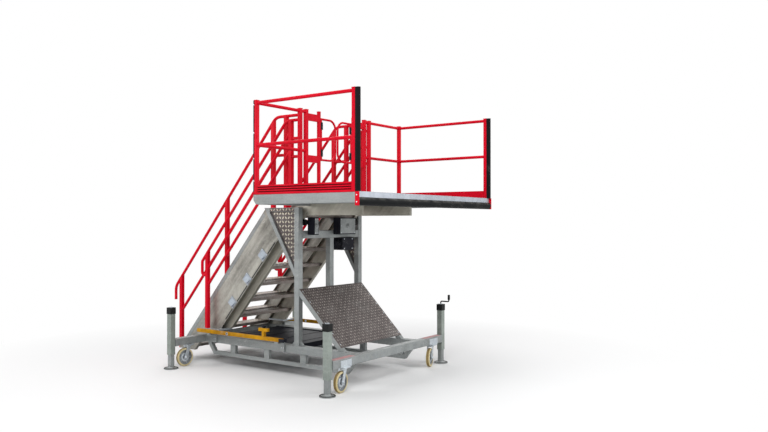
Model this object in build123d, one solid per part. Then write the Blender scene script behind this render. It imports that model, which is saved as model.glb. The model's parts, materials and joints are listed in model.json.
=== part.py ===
from build123d import *
import os
from math import cos, hypot, radians, sin, tan

# Adjustable mobile work platform, in millimetres.
# Modelling frame: X = 0 at the deck's front edge and forward positive, Y = 0 on
# the centre plane and positive to the left as one climbs the stair, Z = 0 on the
# floor. The finished pieces are moved along X so that the origin ends up below
# the middle of the whole machine.

# Deck and guard
DECK_LENGTH = 1500
DECK_WIDTH = 3000
DECK_TOP = 2290
FLOOR_PLATE = 5
FASCIA_HEIGHT = 115
DECK_BEAM = 50
JOIST_HEIGHT = 90
JOIST_OUTER_Y = 1000
GUARD_HEIGHT = 1100
GUARD_POST = 50
RAIL_RADIUS = 20
TOP_RAIL_DROP = 30
MID_RAIL_HEIGHT = 576
KICK_HEIGHT = 105
KICK_THICK = 20
KICK_GROOVES = 3
KICK_GROOVE_WIDTH = 12
KICK_GROOVE_DEPTH = 10
FENDER_WIDTH = 50
FENDER_DEPTH = 50
DECK_FENDER_HEIGHT = 90
NOSING_HEIGHT = 60
NOSING_DEPTH = 18
FENDER_BRACKET = 12
FASCIA_CUT = (40, 50)
ARM_LENGTH = 860
ARM_DROP = 120

# Gate in the rear guard
GATE_POST_INSET = 110
HINGE_POST_INSET = 250
HINGE_POST = 40
GATE_ARM = 30
GATE_ARM_HEIGHT = 90
GATE_LEAF_TOP = 1010
GATE_LEAF_BOTTOM = 480
GATE_TUBE_RADIUS = 14
GATE_CENTRE_GAP = 20
GATE_BEND = 120
HINGE_RADIUS = 17
HINGE_HEIGHT = 90
HINGE_STANDOFF = 25
HINGE_CLEARANCE = 0.3

# Stair: a fixed flight with the sliding flight running under it
PITCH = 49
STAIR_SETBACK = 516
STRINGER_DEPTH = 250
STRINGER_WEB = 8
STRINGER_FLANGE = 50
FLIGHT_SIDE_GAP = 40
FLIGHT_DROP = 400
FIXED_FOOT_Z = 150
SKIRT = 283
SLIDE_FOOT_RISE = 103
RISERS = 10
TREAD_DEPTH = 235
TREAD_THICK = 40
TREAD_WALL = 4
TREAD_SETBACK = 40
SLIDE_TREADS = 7

# Stair handrails
HANDRAIL_HEIGHT = 1000
HANDRAIL_POST = 50
FOOT_POST_INSET = 25
FOOT_POST_SPACING = 950
LANDING_POST_BACK = (400, 170)
FIXED_RAIL_TOP = 1040
FIXED_RAIL_OVERRUN = 240
FIXED_MID_DROP = 500
HOOK_REACH = 130
HOOK_DROP = 190
HOOK_BEND = 150
RAIL_BEND = 150
HANDRAILS_APART = 100
POST_MARGIN = 5
SLIDE_RAIL_LEVEL = 960
SLIDE_RAIL_STEP = 230
SLIDE_RAILS = 3
RETURN_REACH = 110
RETURN_DROP = 190
RETURN_BEND = 45

# Sliding flight's foot plate, rollers and top wings
FOOT_PLATE = 20
FOOT_PLATE_INSET = 9
FOOT_PLATE_LENGTH = 295
FOOT_SLOT_CLEARANCE = 12
WING_LENGTH = 160
WING_THICK = 40
COVER_SIDE = 125
COVER_THICK = 7
COVERS = 3
COVER_TOP_Z = 1530
COVER_STEP = 328
COVER_DROP = 550
ROLLER_RADIUS = 40
ROLLER_WIDTH = 46
SKIRT_CLEARANCE = 5
ROLLER_PIN = 12
RUN_CLEARANCE = 0.3
SLIDE_ROLLER_INSET = 95
ROLLER_CHEEK = 24
ROLLER_CHEEK_GAP = 5
ROLLER_CHEEK_LENGTH = 80
TOWER_ROLLER_BACK = 10

# Base
BASE_SECTION = 100
SECTION_ROUND = 8
RAIL_Y = 620
DECK_OVERHANG = 600
STAIR_OVERHANG = 530
BEAM_HALF = 1190
CHORD_SECTION = 50
CHORD_DROP = 167
CHORD_RAMP = 130
SPACERS = 4
SPACER_REAR_GAP = 560
SPACER_FRONT_GAP = 260
SPACER_LENGTH = 90
TRAY_REAR_GAP = 220
TRAY_FRONT_GAP = 110
TRAY_RAISE = 13
TRAY_HEIGHT = 70

# Tower
TOWER_SETBACK = 90
TOWER_SECTION = 80
TOWER_BEAM = 100
TOWER_GAP = 20
TOWER_BEAM_DROP = 295
TOWER_FOOT = 70
TOWER_FOOT_PLATE = 10
CENTRE_POST = 80
GUSSET_REACH = 480
GUSSET_DROP = 800
GUSSET_PLATE = 6
GUSSET_TUBE = 50
BRACE_SECTION = 60
BRACE_RISE = 718
BRACE_FOOT_GAP = 230
PANEL_THICK = 6
PANEL_RISE = 40
WINCH_Y = (180, 430)
WINCH_HEIGHT = 170
WINCH_DEPTH = 150
MOTOR_RADIUS = 60
MOTOR_LENGTH = 120
GEAR_DEPTH = 110
GEAR_HEIGHT = 225
GEAR_LAP = 55
GEAR_Y = ((-490, -400), (30, 370))

# Jacks
JACK_TUBE = 80
JACK_LEG = 60
JACK_CLEARANCE = 0.3
JACK_TUBE_BELOW = 107
JACK_TUBE_ABOVE = 338
JACK_LEG_ROOM = 165
JACK_PAD_RADIUS = 95
JACK_PAD_THICK = 12
JACK_PAD_CONE = 22
JACK_CAP = 85
JACK_CAP_LIP = 5
CRANK_RISE = 40
CRANK_ARM = 130
CRANK_GRIP = 90
CRANK_RADIUS = 9

# Castors
CASTOR_INSET = 235
CASTOR_TRAIL = 45
CASTOR_TURN = {"front_right": -85, "front_left": -72, "rear_right": 84, "rear_left": 100}
CASTOR_PLATE_LENGTH = 150
CASTOR_PLATE_WIDTH = 110
CASTOR_PLATE = 12
CASTOR_FLANGE = 6
CASTOR_FLANGE_HEIGHT = 80
WHEEL_HEADROOM = 14.7
WHEEL_RADIUS = 125
WHEEL_WIDTH = 50
TYRE_DEPTH = 25
RIM_EDGE = 10
HUB_WEB = 22
HUB_BOSS = 30
AXLE_RADIUS = 10
AXLE_CLEARANCE = 0.05
FORK_CHEEK = 8
FORK_GAP = 6
FORK_CHEEK_WIDTH = 50
FORK_CROWN = 20
FORK_CROWN_RADIUS = 48

# Stowed yellow bars along the base rails
BAR_OUT = 120
BAR_WIDTH = 40
BAR_HEIGHT = 50
BAR_RISE = 48
BAR_REAR_GAP = 20
BAR_LENGTH = 1600
BAR_STEM_INSET = 330
BAR_STEM_RISE = 105
BAR_STEM = 40
BAR_HANDLE = 160
BAR_HOLE = 14
BAR_HOLE_INSET = 600
CARRIER_REAR_INSET = 230
CARRIER_FRONT_INSET = 100
CARRIER_LENGTH = 60
CARRIER_THICK = 20

# Sizes worked out from the ones above
STEEP = tan(radians(PITCH))
BAND = STRINGER_DEPTH / cos(radians(PITCH))
FLANGE_DROP = STRINGER_WEB / cos(radians(PITCH))
RISE = DECK_TOP / RISERS
HALF_DECK = DECK_WIDTH / 2
FRAME_TOP = DECK_TOP - FLOOR_PLATE
FRAME_BOTTOM = FRAME_TOP - FASCIA_HEIGHT
POST_TOP = DECK_TOP + GUARD_HEIGHT
POST_LINE_Y = HALF_DECK - GUARD_POST / 2
REAR_POST_X = -DECK_LENGTH + GUARD_POST / 2
FRONT_POST_X = -GUARD_POST / 2
BASE_BOTTOM = 2 * WHEEL_RADIUS + WHEEL_HEADROOM + FORK_CROWN + RUN_CLEARANCE + CASTOR_PLATE
BASE_TOP = BASE_BOTTOM + BASE_SECTION
SLIDE_FOOT_Z = BASE_TOP + SLIDE_FOOT_RISE
FIXED_EDGE_TOP_X = -DECK_LENGTH - STAIR_SETBACK
FIXED_FOOT_X = FIXED_EDGE_TOP_X - (DECK_TOP - FIXED_FOOT_Z) / STEEP
SLIDE_FOOT_X = FIXED_EDGE_TOP_X - (DECK_TOP - FLIGHT_DROP - SLIDE_FOOT_Z) / STEEP
TOWER_X = -DECK_LENGTH - TOWER_SETBACK
TOWER_REAR_X = TOWER_X - TOWER_SECTION / 2
TOWER_TOP = FRAME_BOTTOM - TOWER_GAP
TOWER_BEAM_Z = (TOWER_TOP - TOWER_BEAM_DROP - TOWER_BEAM, TOWER_TOP - TOWER_BEAM_DROP)
BRACE_TOP_Z = BASE_TOP + BRACE_RISE

FIXED_STRINGER_Y = RAIL_Y + STRINGER_FLANGE / 2
SLIDE_STRINGER_Y = FIXED_STRINGER_Y - STRINGER_FLANGE - FLIGHT_SIDE_GAP
FIXED_RAIL_Y = RAIL_Y
SLIDE_RAIL_Y = FIXED_RAIL_Y + HANDRAILS_APART
GATE_POST_Y = SLIDE_RAIL_Y - GATE_POST_INSET
HINGE_POST_Y = GATE_POST_Y - HINGE_POST_INSET
JACK_Y = BEAM_HALF + JACK_TUBE / 2
CASTOR_Y = BEAM_HALF - CASTOR_INSET
BAR_Y = RAIL_Y + BASE_SECTION / 2 + BAR_OUT

FOOT_POST_X = FIXED_FOOT_X + FOOT_POST_INSET
FIXED_POST_X = (FOOT_POST_X, FOOT_POST_X + FOOT_POST_SPACING)
LANDING_POST_X = tuple(TOWER_REAR_X - back for back in LANDING_POST_BACK)
FIXED_RAIL_END_X = LANDING_POST_X[1] + FIXED_RAIL_OVERRUN
HOOK_X = FOOT_POST_X - HOOK_REACH
FOOT_PLATE_X = (SLIDE_FOOT_X + FOOT_PLATE_INSET, SLIDE_FOOT_X + FOOT_PLATE_INSET + FOOT_PLATE_LENGTH)
FOOT_PLATE_OUT = SLIDE_RAIL_Y + HANDRAIL_POST / 2 + POST_MARGIN
SLIDE_POST_X = FOOT_PLATE_X[0] + HANDRAIL_POST / 2 + POST_MARGIN
SLIDE_ROLLER_X = FOOT_PLATE_X[0] + SLIDE_ROLLER_INSET
WING_X = -DECK_LENGTH - WING_LENGTH
TOP_POST_X = WING_X + HANDRAIL_POST / 2 + 2 * POST_MARGIN
TOWER_ROLLER_X = TOWER_X - TOWER_ROLLER_BACK

FRONT_BEAM_X = -DECK_OVERHANG
REAR_BEAM_X = FOOT_POST_X + STAIR_OVERHANG
CHORD_BOTTOM = BASE_BOTTOM - CHORD_DROP
TRAY_X = (REAR_BEAM_X + TRAY_REAR_GAP, TOWER_X - TRAY_FRONT_GAP)
TRAY_Z = (BASE_BOTTOM + TRAY_RAISE, BASE_BOTTOM + TRAY_RAISE + TRAY_HEIGHT)
BRACE_FOOT_X = FRONT_BEAM_X - BRACE_FOOT_GAP
JACK_TUBE_Z = (BASE_BOTTOM - JACK_TUBE_BELOW, BASE_TOP + JACK_TUBE_ABOVE)
JACK_LEG_TOP = JACK_TUBE_Z[1] - JACK_LEG_ROOM
BAR_Z = (BASE_TOP + BAR_RISE, BASE_TOP + BAR_RISE + BAR_HEIGHT)
BAR_X = (REAR_BEAM_X + BAR_REAR_GAP, REAR_BEAM_X + BAR_REAR_GAP + BAR_LENGTH)
BAR_STEM_X = BAR_X[1] - BAR_STEM_INSET
BAR_STEM_TOP = BAR_Z[1] + BAR_STEM_RISE
BAR_HOLE_X = BAR_X[0] + BAR_HOLE_INSET
CARRIER_X = (BAR_X[0] + CARRIER_REAR_INSET, BAR_X[1] - CARRIER_FRONT_INSET)

REACH_AHEAD = FENDER_DEPTH
REACH_BEHIND = RAIL_RADIUS - HOOK_X
CENTRE_SHIFT = (REACH_BEHIND - REACH_AHEAD) / 2


def block(x, y, z):
    """Box between the low and high end given for each axis."""
    size = [high - low for low, high in (x, y, z)]
    middle = [(high + low) / 2 for low, high in (x, y, z)]
    return Pos(*middle) * Box(*size)


def around(middle, width):
    """Low and high end of a width about its middle."""
    return (middle - width / 2, middle + width / 2)


def section(x, y, z, along):
    """Rounded hollow-section look: a box with its long edges eased."""
    bar = block(x, y, z)
    return fillet(bar.edges().filter_by(along), SECTION_ROUND)


def plate(outline, y):
    """Sheet cut to an outline of (x, z) points, between two values of y."""
    face = make_face(Polyline(*[(px, y[0], pz) for px, pz in outline], close=True))
    return extrude(face, amount=y[1] - y[0], dir=(0, 1, 0))


def rod(start, end, radius):
    """Straight round bar between two points."""
    start, end = Vector(*start), Vector(*end)
    return extrude(Plane(origin=start, z_dir=end - start) * Circle(radius), amount=(end - start).length)


def pipe(points, bends, radius):
    """Bent round tube through points, with one bend radius for each corner."""
    path = FilletPolyline(*points, radius=bends)
    return sweep(Plane(origin=path @ 0, z_dir=path % 0) * Circle(radius), path=path)


def pair(piece):
    """A right-hand piece and its mirror image on the left."""
    return [piece, mirror(piece, about=Plane.XZ)]


def both_sides(pieces):
    """Every right-hand piece with its mirror image."""
    return [side for piece in pieces for side in pair(piece)]


def edge_x(z, drop=0):
    """X of the fixed flight's top edge line, lowered by drop, at a height."""
    return FIXED_EDGE_TOP_X - (DECK_TOP - z - drop) / STEEP


def edge_z(x, drop=0):
    """Height of the fixed flight's top edge line, lowered by drop, at an X."""
    return DECK_TOP + (x - FIXED_EDGE_TOP_X) * STEEP - drop


# Deck

def deck_side_beams():
    """Fascia beams, with the lower rear corner cut off."""
    y = (-HALF_DECK, DECK_BEAM - HALF_DECK)
    beam = section((-DECK_LENGTH, 0), y, (FRAME_BOTTOM, FRAME_TOP), Axis.X)
    length, height = FASCIA_CUT
    corner = (-DECK_LENGTH, FRAME_BOTTOM)
    return pair(beam - plate([corner, (corner[0] + length, corner[1]), (corner[0], corner[1] + height)], y))


def deck_end_beams():
    inner = (DECK_BEAM - HALF_DECK, HALF_DECK - DECK_BEAM)
    return [
        block(ends, inner, (FRAME_BOTTOM, FRAME_TOP))
        for ends in ((-DECK_LENGTH, DECK_BEAM - DECK_LENGTH), (-DECK_BEAM, 0))
    ]


def deck_joists():
    reach = (DECK_BEAM - DECK_LENGTH, -DECK_BEAM)
    depth = (FRAME_TOP - JOIST_HEIGHT, FRAME_TOP)
    middles = (SLIDE_STRINGER_Y - STRINGER_FLANGE / 2, JOIST_OUTER_Y)
    return both_sides([block(reach, around(-y, STRINGER_FLANGE), depth) for y in middles])


def deck_arms():
    """Deep arms that carry the deck forward from the ends of the sliding stringers."""
    y = around(STRINGER_FLANGE / 2 - SLIDE_STRINGER_Y, STRINGER_FLANGE)
    low = FRAME_BOTTOM - ARM_DROP
    arm = block((-DECK_LENGTH, ARM_LENGTH - DECK_LENGTH), y, (low, FRAME_BOTTOM))
    arm += block((DECK_BEAM - DECK_LENGTH, ARM_LENGTH - DECK_LENGTH), y, (low, FRAME_TOP - JOIST_HEIGHT))
    return pair(arm)


def deck_floor():
    """Deck plate between the kick boards, notched round the posts and run out to the stair at the gate."""
    z = (FRAME_TOP, DECK_TOP)
    inside = HALF_DECK - KICK_THICK
    sill = GATE_POST_Y - GUARD_POST / 2
    floor = block((KICK_THICK - DECK_LENGTH, 0), (-inside, inside), z)
    floor += block((-DECK_LENGTH, KICK_THICK - DECK_LENGTH), (-sill, sill), z)
    for x, y, side in [(x, y, GUARD_POST) for x, y in guard_post_places()] + [(REAR_POST_X, HINGE_POST_Y, HINGE_POST)]:
        for way in (-1, 1):
            floor -= block(around(x, side), around(way * y, side), z)
    return [floor]


def grooved_board(x, y, face, along):
    """Kick board with level grooves along its outer face."""
    board = block(x, y, (FRAME_TOP, DECK_TOP + KICK_HEIGHT))
    pitch = KICK_HEIGHT / (KICK_GROOVES + 1)
    for row in range(KICK_GROOVES):
        z = around(DECK_TOP + (row + 1) * pitch, KICK_GROOVE_WIDTH)
        cut = around(face, 2 * KICK_GROOVE_DEPTH)
        board -= block(x, cut, z) if along == Axis.X else block(cut, y, z)
    return board


def kick_boards():
    """Boards between the guard posts, flush with their outer faces."""
    half = GUARD_POST / 2
    ends = (REAR_POST_X + half, FRONT_POST_X - half)
    boards = [grooved_board(ends, (-HALF_DECK, KICK_THICK - HALF_DECK), -HALF_DECK, Axis.X)]
    rear = (-DECK_LENGTH, KICK_THICK - DECK_LENGTH)
    for outside, inside in ((POST_LINE_Y, SLIDE_RAIL_Y), (SLIDE_RAIL_Y, GATE_POST_Y)):
        boards.append(grooved_board(rear, (half - outside, -inside - half), -DECK_LENGTH, Axis.Y))
    return both_sides(boards)


def guard_post_places():
    """X and distance from the centre plane of each pair of guard posts."""
    return (
        (FRONT_POST_X, POST_LINE_Y),
        (REAR_POST_X, POST_LINE_Y),
        (REAR_POST_X, SLIDE_RAIL_Y),
        (REAR_POST_X, GATE_POST_Y),
    )


def guard_posts():
    return both_sides([
        section(around(x, GUARD_POST), around(-y, GUARD_POST), (FRAME_TOP, POST_TOP), Axis.Z)
        for x, y in guard_post_places()
    ])


def guard_rails():
    half = GUARD_POST / 2
    rails = []
    for z in (POST_TOP - TOP_RAIL_DROP, DECK_TOP + MID_RAIL_HEIGHT):
        rails.append(rod((REAR_POST_X + half, -POST_LINE_Y, z), (FRONT_POST_X - half, -POST_LINE_Y, z), RAIL_RADIUS))
        rails.append(rod((REAR_POST_X, half - POST_LINE_Y, z), (REAR_POST_X, -SLIDE_RAIL_Y - half, z), RAIL_RADIUS))
        rails.append(rod((REAR_POST_X, half - SLIDE_RAIL_Y, z), (REAR_POST_X, -GATE_POST_Y - half, z), RAIL_RADIUS))
    return both_sides(rails)


def bumper(width, depth):
    """D-shaped rubber profile: flat back with a half-round nose ahead of it."""
    straight = depth - width / 2
    outline = Polyline((0, width / 2), (0, -width / 2), (straight, -width / 2))
    nose = ThreePointArc((straight, -width / 2), (depth, 0), (straight, width / 2))
    return make_face(outline + nose + Line((straight, width / 2), (0, width / 2)))


def post_fenders():
    profile = bumper(FENDER_WIDTH, FENDER_DEPTH)
    right = Pos(0, -POST_LINE_Y, DECK_TOP) * extrude(profile, amount=GUARD_HEIGHT, dir=(0, 0, 1))
    return pair(right)


def deck_fender():
    profile = bumper(DECK_FENDER_HEIGHT, FENDER_DEPTH)
    level = DECK_TOP - NOSING_HEIGHT - DECK_FENDER_HEIGHT / 2
    half = HALF_DECK - FENDER_BRACKET
    lying = Plane(origin=(0, half, level), x_dir=(1, 0, 0), z_dir=(0, -1, 0)) * profile
    return [extrude(lying, amount=2 * half, dir=(0, -1, 0))]


def fender_brackets():
    z = (DECK_TOP - NOSING_HEIGHT - DECK_FENDER_HEIGHT, DECK_TOP)
    return pair(block((0, FENDER_DEPTH), (-HALF_DECK, FENDER_BRACKET - HALF_DECK), z))


def deck_nosing():
    half = HALF_DECK - FENDER_BRACKET
    return [block((0, NOSING_DEPTH), (-half, half), (DECK_TOP - NOSING_HEIGHT, DECK_TOP))]


# Gate

def gate_frame():
    """Hinge posts held off the gate posts by two arms each."""
    sides = around(-HINGE_POST_Y, HINGE_POST)
    post = section(around(REAR_POST_X, HINGE_POST), sides, (FRAME_TOP, POST_TOP), Axis.Z)
    reach = (GUARD_POST / 2 - GATE_POST_Y, -HINGE_POST_Y - HINGE_POST / 2)
    for level in (GATE_LEAF_TOP, GATE_LEAF_BOTTOM):
        post += block(around(REAR_POST_X, GATE_ARM), reach, around(DECK_TOP + level, GATE_ARM_HEIGHT))
    return pair(post)


def hinge_line_y():
    """Distance of the gate's hinge line from the centre plane."""
    return HINGE_POST_Y - HINGE_POST / 2 - HINGE_STANDOFF


def hinge_levels():
    return (DECK_TOP + GATE_LEAF_TOP - HINGE_HEIGHT, DECK_TOP + GATE_LEAF_BOTTOM + HINGE_HEIGHT)


def gate_hinges():
    """Sprung hinge barrels on the hinge posts, each with a bore for the leaf's stile."""
    hinges = []
    for level in hinge_levels():
        z = around(level, HINGE_HEIGHT)
        leaf = block(around(REAR_POST_X, HINGE_RADIUS), (-hinge_line_y() - HINGE_STANDOFF, -hinge_line_y()), z)
        barrel = Pos(REAR_POST_X, -hinge_line_y(), level) * Cylinder(HINGE_RADIUS + GATE_TUBE_RADIUS / 2, HINGE_HEIGHT)
        bore = Pos(REAR_POST_X, -hinge_line_y(), level) * Cylinder(GATE_TUBE_RADIUS + HINGE_CLEARANCE, HINGE_HEIGHT)
        hinges.append(leaf + barrel - bore)
    return both_sides(hinges)


def gate_leaf(side):
    """D-shaped bent tube that swings on its stile."""
    line = side * hinge_line_y()
    free = side * (GATE_CENTRE_GAP / 2 + GATE_TUBE_RADIUS)
    low = DECK_TOP + GATE_LEAF_BOTTOM
    high = DECK_TOP + GATE_LEAF_TOP
    bow = pipe(
        [(REAR_POST_X, line, high), (REAR_POST_X, free, high), (REAR_POST_X, free, low), (REAR_POST_X, line, low)],
        GATE_BEND, GATE_TUBE_RADIUS,
    )
    stile = rod((REAR_POST_X, line, low), (REAR_POST_X, line, high), GATE_TUBE_RADIUS)
    caps = [Pos(REAR_POST_X, line, z) * Sphere(GATE_TUBE_RADIUS) for z in (low, high)]
    return [bow + stile + caps[0] + caps[1]]


# Stair

def stringer(drop, foot_z, top_points, outer_y):
    """Channel on the right side: a web with flanges turned inwards along both edges."""
    outline = [(edge_x(foot_z, drop), foot_z), (edge_x(foot_z, drop + BAND), foot_z)] + top_points
    channel = plate(outline, (-outer_y, STRINGER_FLANGE - outer_y))
    inner = (STRINGER_WEB - outer_y, STRINGER_FLANGE - outer_y)
    far = 2 * DECK_TOP
    hollow = [
        (edge_x(-far, drop + FLANGE_DROP), -far),
        (edge_x(-far, drop + BAND - FLANGE_DROP), -far),
        (edge_x(far, drop + BAND - FLANGE_DROP), far),
        (edge_x(far, drop + FLANGE_DROP), far),
    ]
    return channel - plate(hollow, inner)


def gusset_back():
    """The two (x, z) ends of the gusset tube's rear face."""
    span = hypot(GUSSET_REACH, GUSSET_DROP)
    top = (TOWER_REAR_X - GUSSET_REACH - GUSSET_TUBE * span / GUSSET_DROP, TOWER_TOP)
    foot = (TOWER_REAR_X, TOWER_TOP - GUSSET_DROP - GUSSET_TUBE * span / GUSSET_REACH)
    return top, foot


def on_gusset_back(drop):
    """Where the fixed flight's edge line, lowered by drop, meets the gusset tube."""
    (top_x, top_z), (foot_x, foot_z) = gusset_back()
    lean = (foot_x - top_x) / (top_z - foot_z)
    z = (top_x + lean * top_z - edge_x(0, drop)) / (1 / STEEP + lean)
    return (edge_x(z, drop), z)


def fixed_stringer():
    """Channel whose outer web runs on below its lower flange as a skirt over the running gap."""
    channel = stringer(0, FIXED_FOOT_Z, [on_gusset_back(BAND), on_gusset_back(0)], FIXED_STRINGER_Y)
    low = BAND + SKIRT
    outline = [
        (edge_x(BASE_TOP, BAND), BASE_TOP), (edge_x(BASE_TOP, low), BASE_TOP),
        on_gusset_back(low), on_gusset_back(BAND),
    ]
    skirt = plate(outline, (-FIXED_STRINGER_Y, STRINGER_WEB - FIXED_STRINGER_Y))
    return channel + skirt - rear_beam() - base_rail()


def slide_stringer():
    back = -DECK_LENGTH
    top = [(back, edge_z(back, FLIGHT_DROP + BAND)), (back, FRAME_TOP), (edge_x(FRAME_TOP, FLIGHT_DROP), FRAME_TOP)]
    return stringer(FLIGHT_DROP, SLIDE_FOOT_Z, top, SLIDE_STRINGER_Y)


def tread(level, drop, half_width):
    """Folded tread: a flat top with its front and back edges turned down."""
    start = edge_x(level, drop) + TREAD_SETBACK
    x = (start, start + TREAD_DEPTH)
    y = (-half_width, half_width)
    hollow_x = (x[0] + TREAD_WALL, x[1] - TREAD_WALL)
    return block(x, y, (level - TREAD_THICK, level)) - block(hollow_x, y, (level - TREAD_THICK, level - TREAD_WALL))


def fixed_treads():
    web_face = FIXED_STRINGER_Y - STRINGER_WEB
    tube_face = FIXED_RAIL_Y - GUSSET_TUBE / 2
    steps = [tread((row + 1) * RISE, 0, web_face) for row in range(RISERS - 2)]
    return steps + [tread((RISERS - 1) * RISE, 0, tube_face)]


def slide_treads():
    web_face = SLIDE_STRINGER_Y - STRINGER_WEB
    return [tread(DECK_TOP - (row + 1) * RISE, FLIGHT_DROP, web_face) for row in range(SLIDE_TREADS)]


def stair_landing():
    back = edge_x(FRAME_TOP, FLIGHT_DROP)
    return [block((back, -DECK_LENGTH), (-SLIDE_STRINGER_Y, SLIDE_STRINGER_Y), (FRAME_TOP, DECK_TOP))]


def foot_plates():
    """Plates from the sliding stringers' feet out to the handrail posts, slotted for the fixed flight's skirt."""
    y = (-FOOT_PLATE_OUT, STRINGER_FLANGE - SLIDE_STRINGER_Y)
    z = (SLIDE_FOOT_Z - FOOT_PLATE, SLIDE_FOOT_Z)
    slot_y = (HANDRAIL_POST / 2 - SLIDE_RAIL_Y, STRINGER_WEB + SKIRT_CLEARANCE - FIXED_STRINGER_Y)
    slot_x = (FOOT_PLATE_X[0], edge_x(SLIDE_FOOT_Z, BAND + SKIRT) + FOOT_SLOT_CLEARANCE)
    return pair(block(FOOT_PLATE_X, y, z) - block(slot_x, slot_y, z))


def top_wings():
    y = (-SLIDE_RAIL_Y - HANDRAIL_POST / 2, -SLIDE_STRINGER_Y)
    return pair(block((WING_X, -DECK_LENGTH), y, (FRAME_TOP - WING_THICK, FRAME_TOP)))


def stringer_covers():
    """Bright square plates on the fixed stringers' outer webs, set in line with the slope."""
    along = (cos(radians(PITCH)), sin(radians(PITCH)))
    half = COVER_SIDE / 2
    plates = []
    for row in range(COVERS):
        z = COVER_TOP_Z - row * COVER_STEP
        x = edge_x(z, COVER_DROP)
        outline = [
            (x + half * (a * along[0] + b * along[1]), z + half * (a * along[1] - b * along[0]))
            for a, b in ((-1, -1), (1, -1), (1, 1), (-1, 1))
        ]
        plates.append(plate(outline, (-FIXED_STRINGER_Y - COVER_THICK, -FIXED_STRINGER_Y)))
    return both_sides(plates)


def below_edge(x, drop, distance):
    """Point at a square distance under a stair edge line."""
    return (x + distance * sin(radians(PITCH)), edge_z(x, drop) - distance * cos(radians(PITCH)))


def slide_rollers():
    """Rollers that run under the fixed stringers, each on a cheek of the foot plate."""
    x, z = below_edge(SLIDE_ROLLER_X, BAND, ROLLER_RADIUS + RUN_CLEARANCE)
    outer = STRINGER_WEB + SKIRT_CLEARANCE - FIXED_STRINGER_Y
    inner = -FIXED_RAIL_Y + ROLLER_WIDTH / 2
    roller = rod((x, outer, z), (x, inner, z), ROLLER_RADIUS)
    face = STRINGER_FLANGE - FIXED_STRINGER_Y + ROLLER_CHEEK_GAP
    pin = rod((x, outer, z), (x, face, z), ROLLER_PIN)
    cheek = block(
        around(x, ROLLER_CHEEK_LENGTH), (face, face + ROLLER_CHEEK), (SLIDE_FOOT_Z, z + 2 * ROLLER_PIN)
    )
    return pair(roller + pin + cheek)


def tower_rollers():
    """Rollers on the tower posts that carry the sliding stringers."""
    x, z = below_edge(TOWER_ROLLER_X, FLIGHT_DROP + BAND, ROLLER_RADIUS + RUN_CLEARANCE)
    face = TOWER_SECTION / 2 - RAIL_Y
    middle = STRINGER_FLANGE / 2 - SLIDE_STRINGER_Y
    roller = rod((x, middle - ROLLER_WIDTH / 2, z), (x, middle + ROLLER_WIDTH / 2, z), ROLLER_RADIUS)
    pin = rod((x, face, z), (x, middle, z), ROLLER_PIN)
    return pair(roller + pin)


# Stair handrails

def fixed_top_rail():
    level = DECK_TOP + FIXED_RAIL_TOP
    bend_x = edge_x(level - HANDRAIL_HEIGHT)
    foot = edge_z(HOOK_X) + HANDRAIL_HEIGHT
    y = -FIXED_RAIL_Y
    points = [(HOOK_X, y, foot - HOOK_DROP), (HOOK_X, y, foot), (bend_x, y, level), (FIXED_RAIL_END_X, y, level)]
    return pipe(points, [HOOK_BEND, RAIL_BEND], RAIL_RADIUS)


def stair_post(x, foot, top, middle_y):
    """Square post whose foot follows a line; foot gives the height at an X."""
    low, high = around(x, HANDRAIL_POST)
    y = around(-middle_y, HANDRAIL_POST)
    return plate([(low, foot(low)), (high, foot(high)), (high, top(high)), (low, top(low))], y)


def fixed_posts():
    """Posts on the fixed stringers and on the gussets, saddled to the top rail."""
    level = DECK_TOP + FIXED_RAIL_TOP
    posts = [stair_post(x, edge_z, lambda px: edge_z(px) + HANDRAIL_HEIGHT, FIXED_RAIL_Y) for x in FIXED_POST_X]
    for x in LANDING_POST_X:
        top = lambda px: min(level, edge_z(px) + HANDRAIL_HEIGHT)
        posts.append(stair_post(x, lambda px: TOWER_TOP, top, FIXED_RAIL_Y))
    return [post - fixed_top_rail() for post in posts]


def fixed_mid_rails():
    """Middle rails between the posts, sloping on the flight and level at the top."""
    half = HANDRAIL_POST / 2
    y = -FIXED_RAIL_Y
    height = HANDRAIL_HEIGHT - FIXED_MID_DROP
    stops = list(FIXED_POST_X) + [LANDING_POST_X[0]]
    rails = []
    for low, high in zip(stops, stops[1:]):
        rail = rod((low, y, edge_z(low) + height), (high, y, edge_z(high) + height), RAIL_RADIUS)
        for x in (low, high):
            rail -= block(around(x, HANDRAIL_POST), around(y, HANDRAIL_POST), (0, 2 * DECK_TOP))
        rails.append(rail)
    level = DECK_TOP + FIXED_RAIL_TOP - FIXED_MID_DROP
    rails.append(rod((LANDING_POST_X[0] + half, y, level), (LANDING_POST_X[1] - half, y, level), RAIL_RADIUS))
    return rails


def slide_rail_z(x, row):
    """Height of one of the sliding flight's rails at an X."""
    return edge_z(x, FLIGHT_DROP) + HANDRAIL_HEIGHT - row * SLIDE_RAIL_STEP


def slide_post_faces():
    """Space taken by the sliding handrail's posts, to trim the rails to them."""
    y = around(-SLIDE_RAIL_Y, HANDRAIL_POST)
    return [block(around(x, HANDRAIL_POST), y, (0, 2 * DECK_TOP)) for x in (SLIDE_POST_X, TOP_POST_X)]


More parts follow.
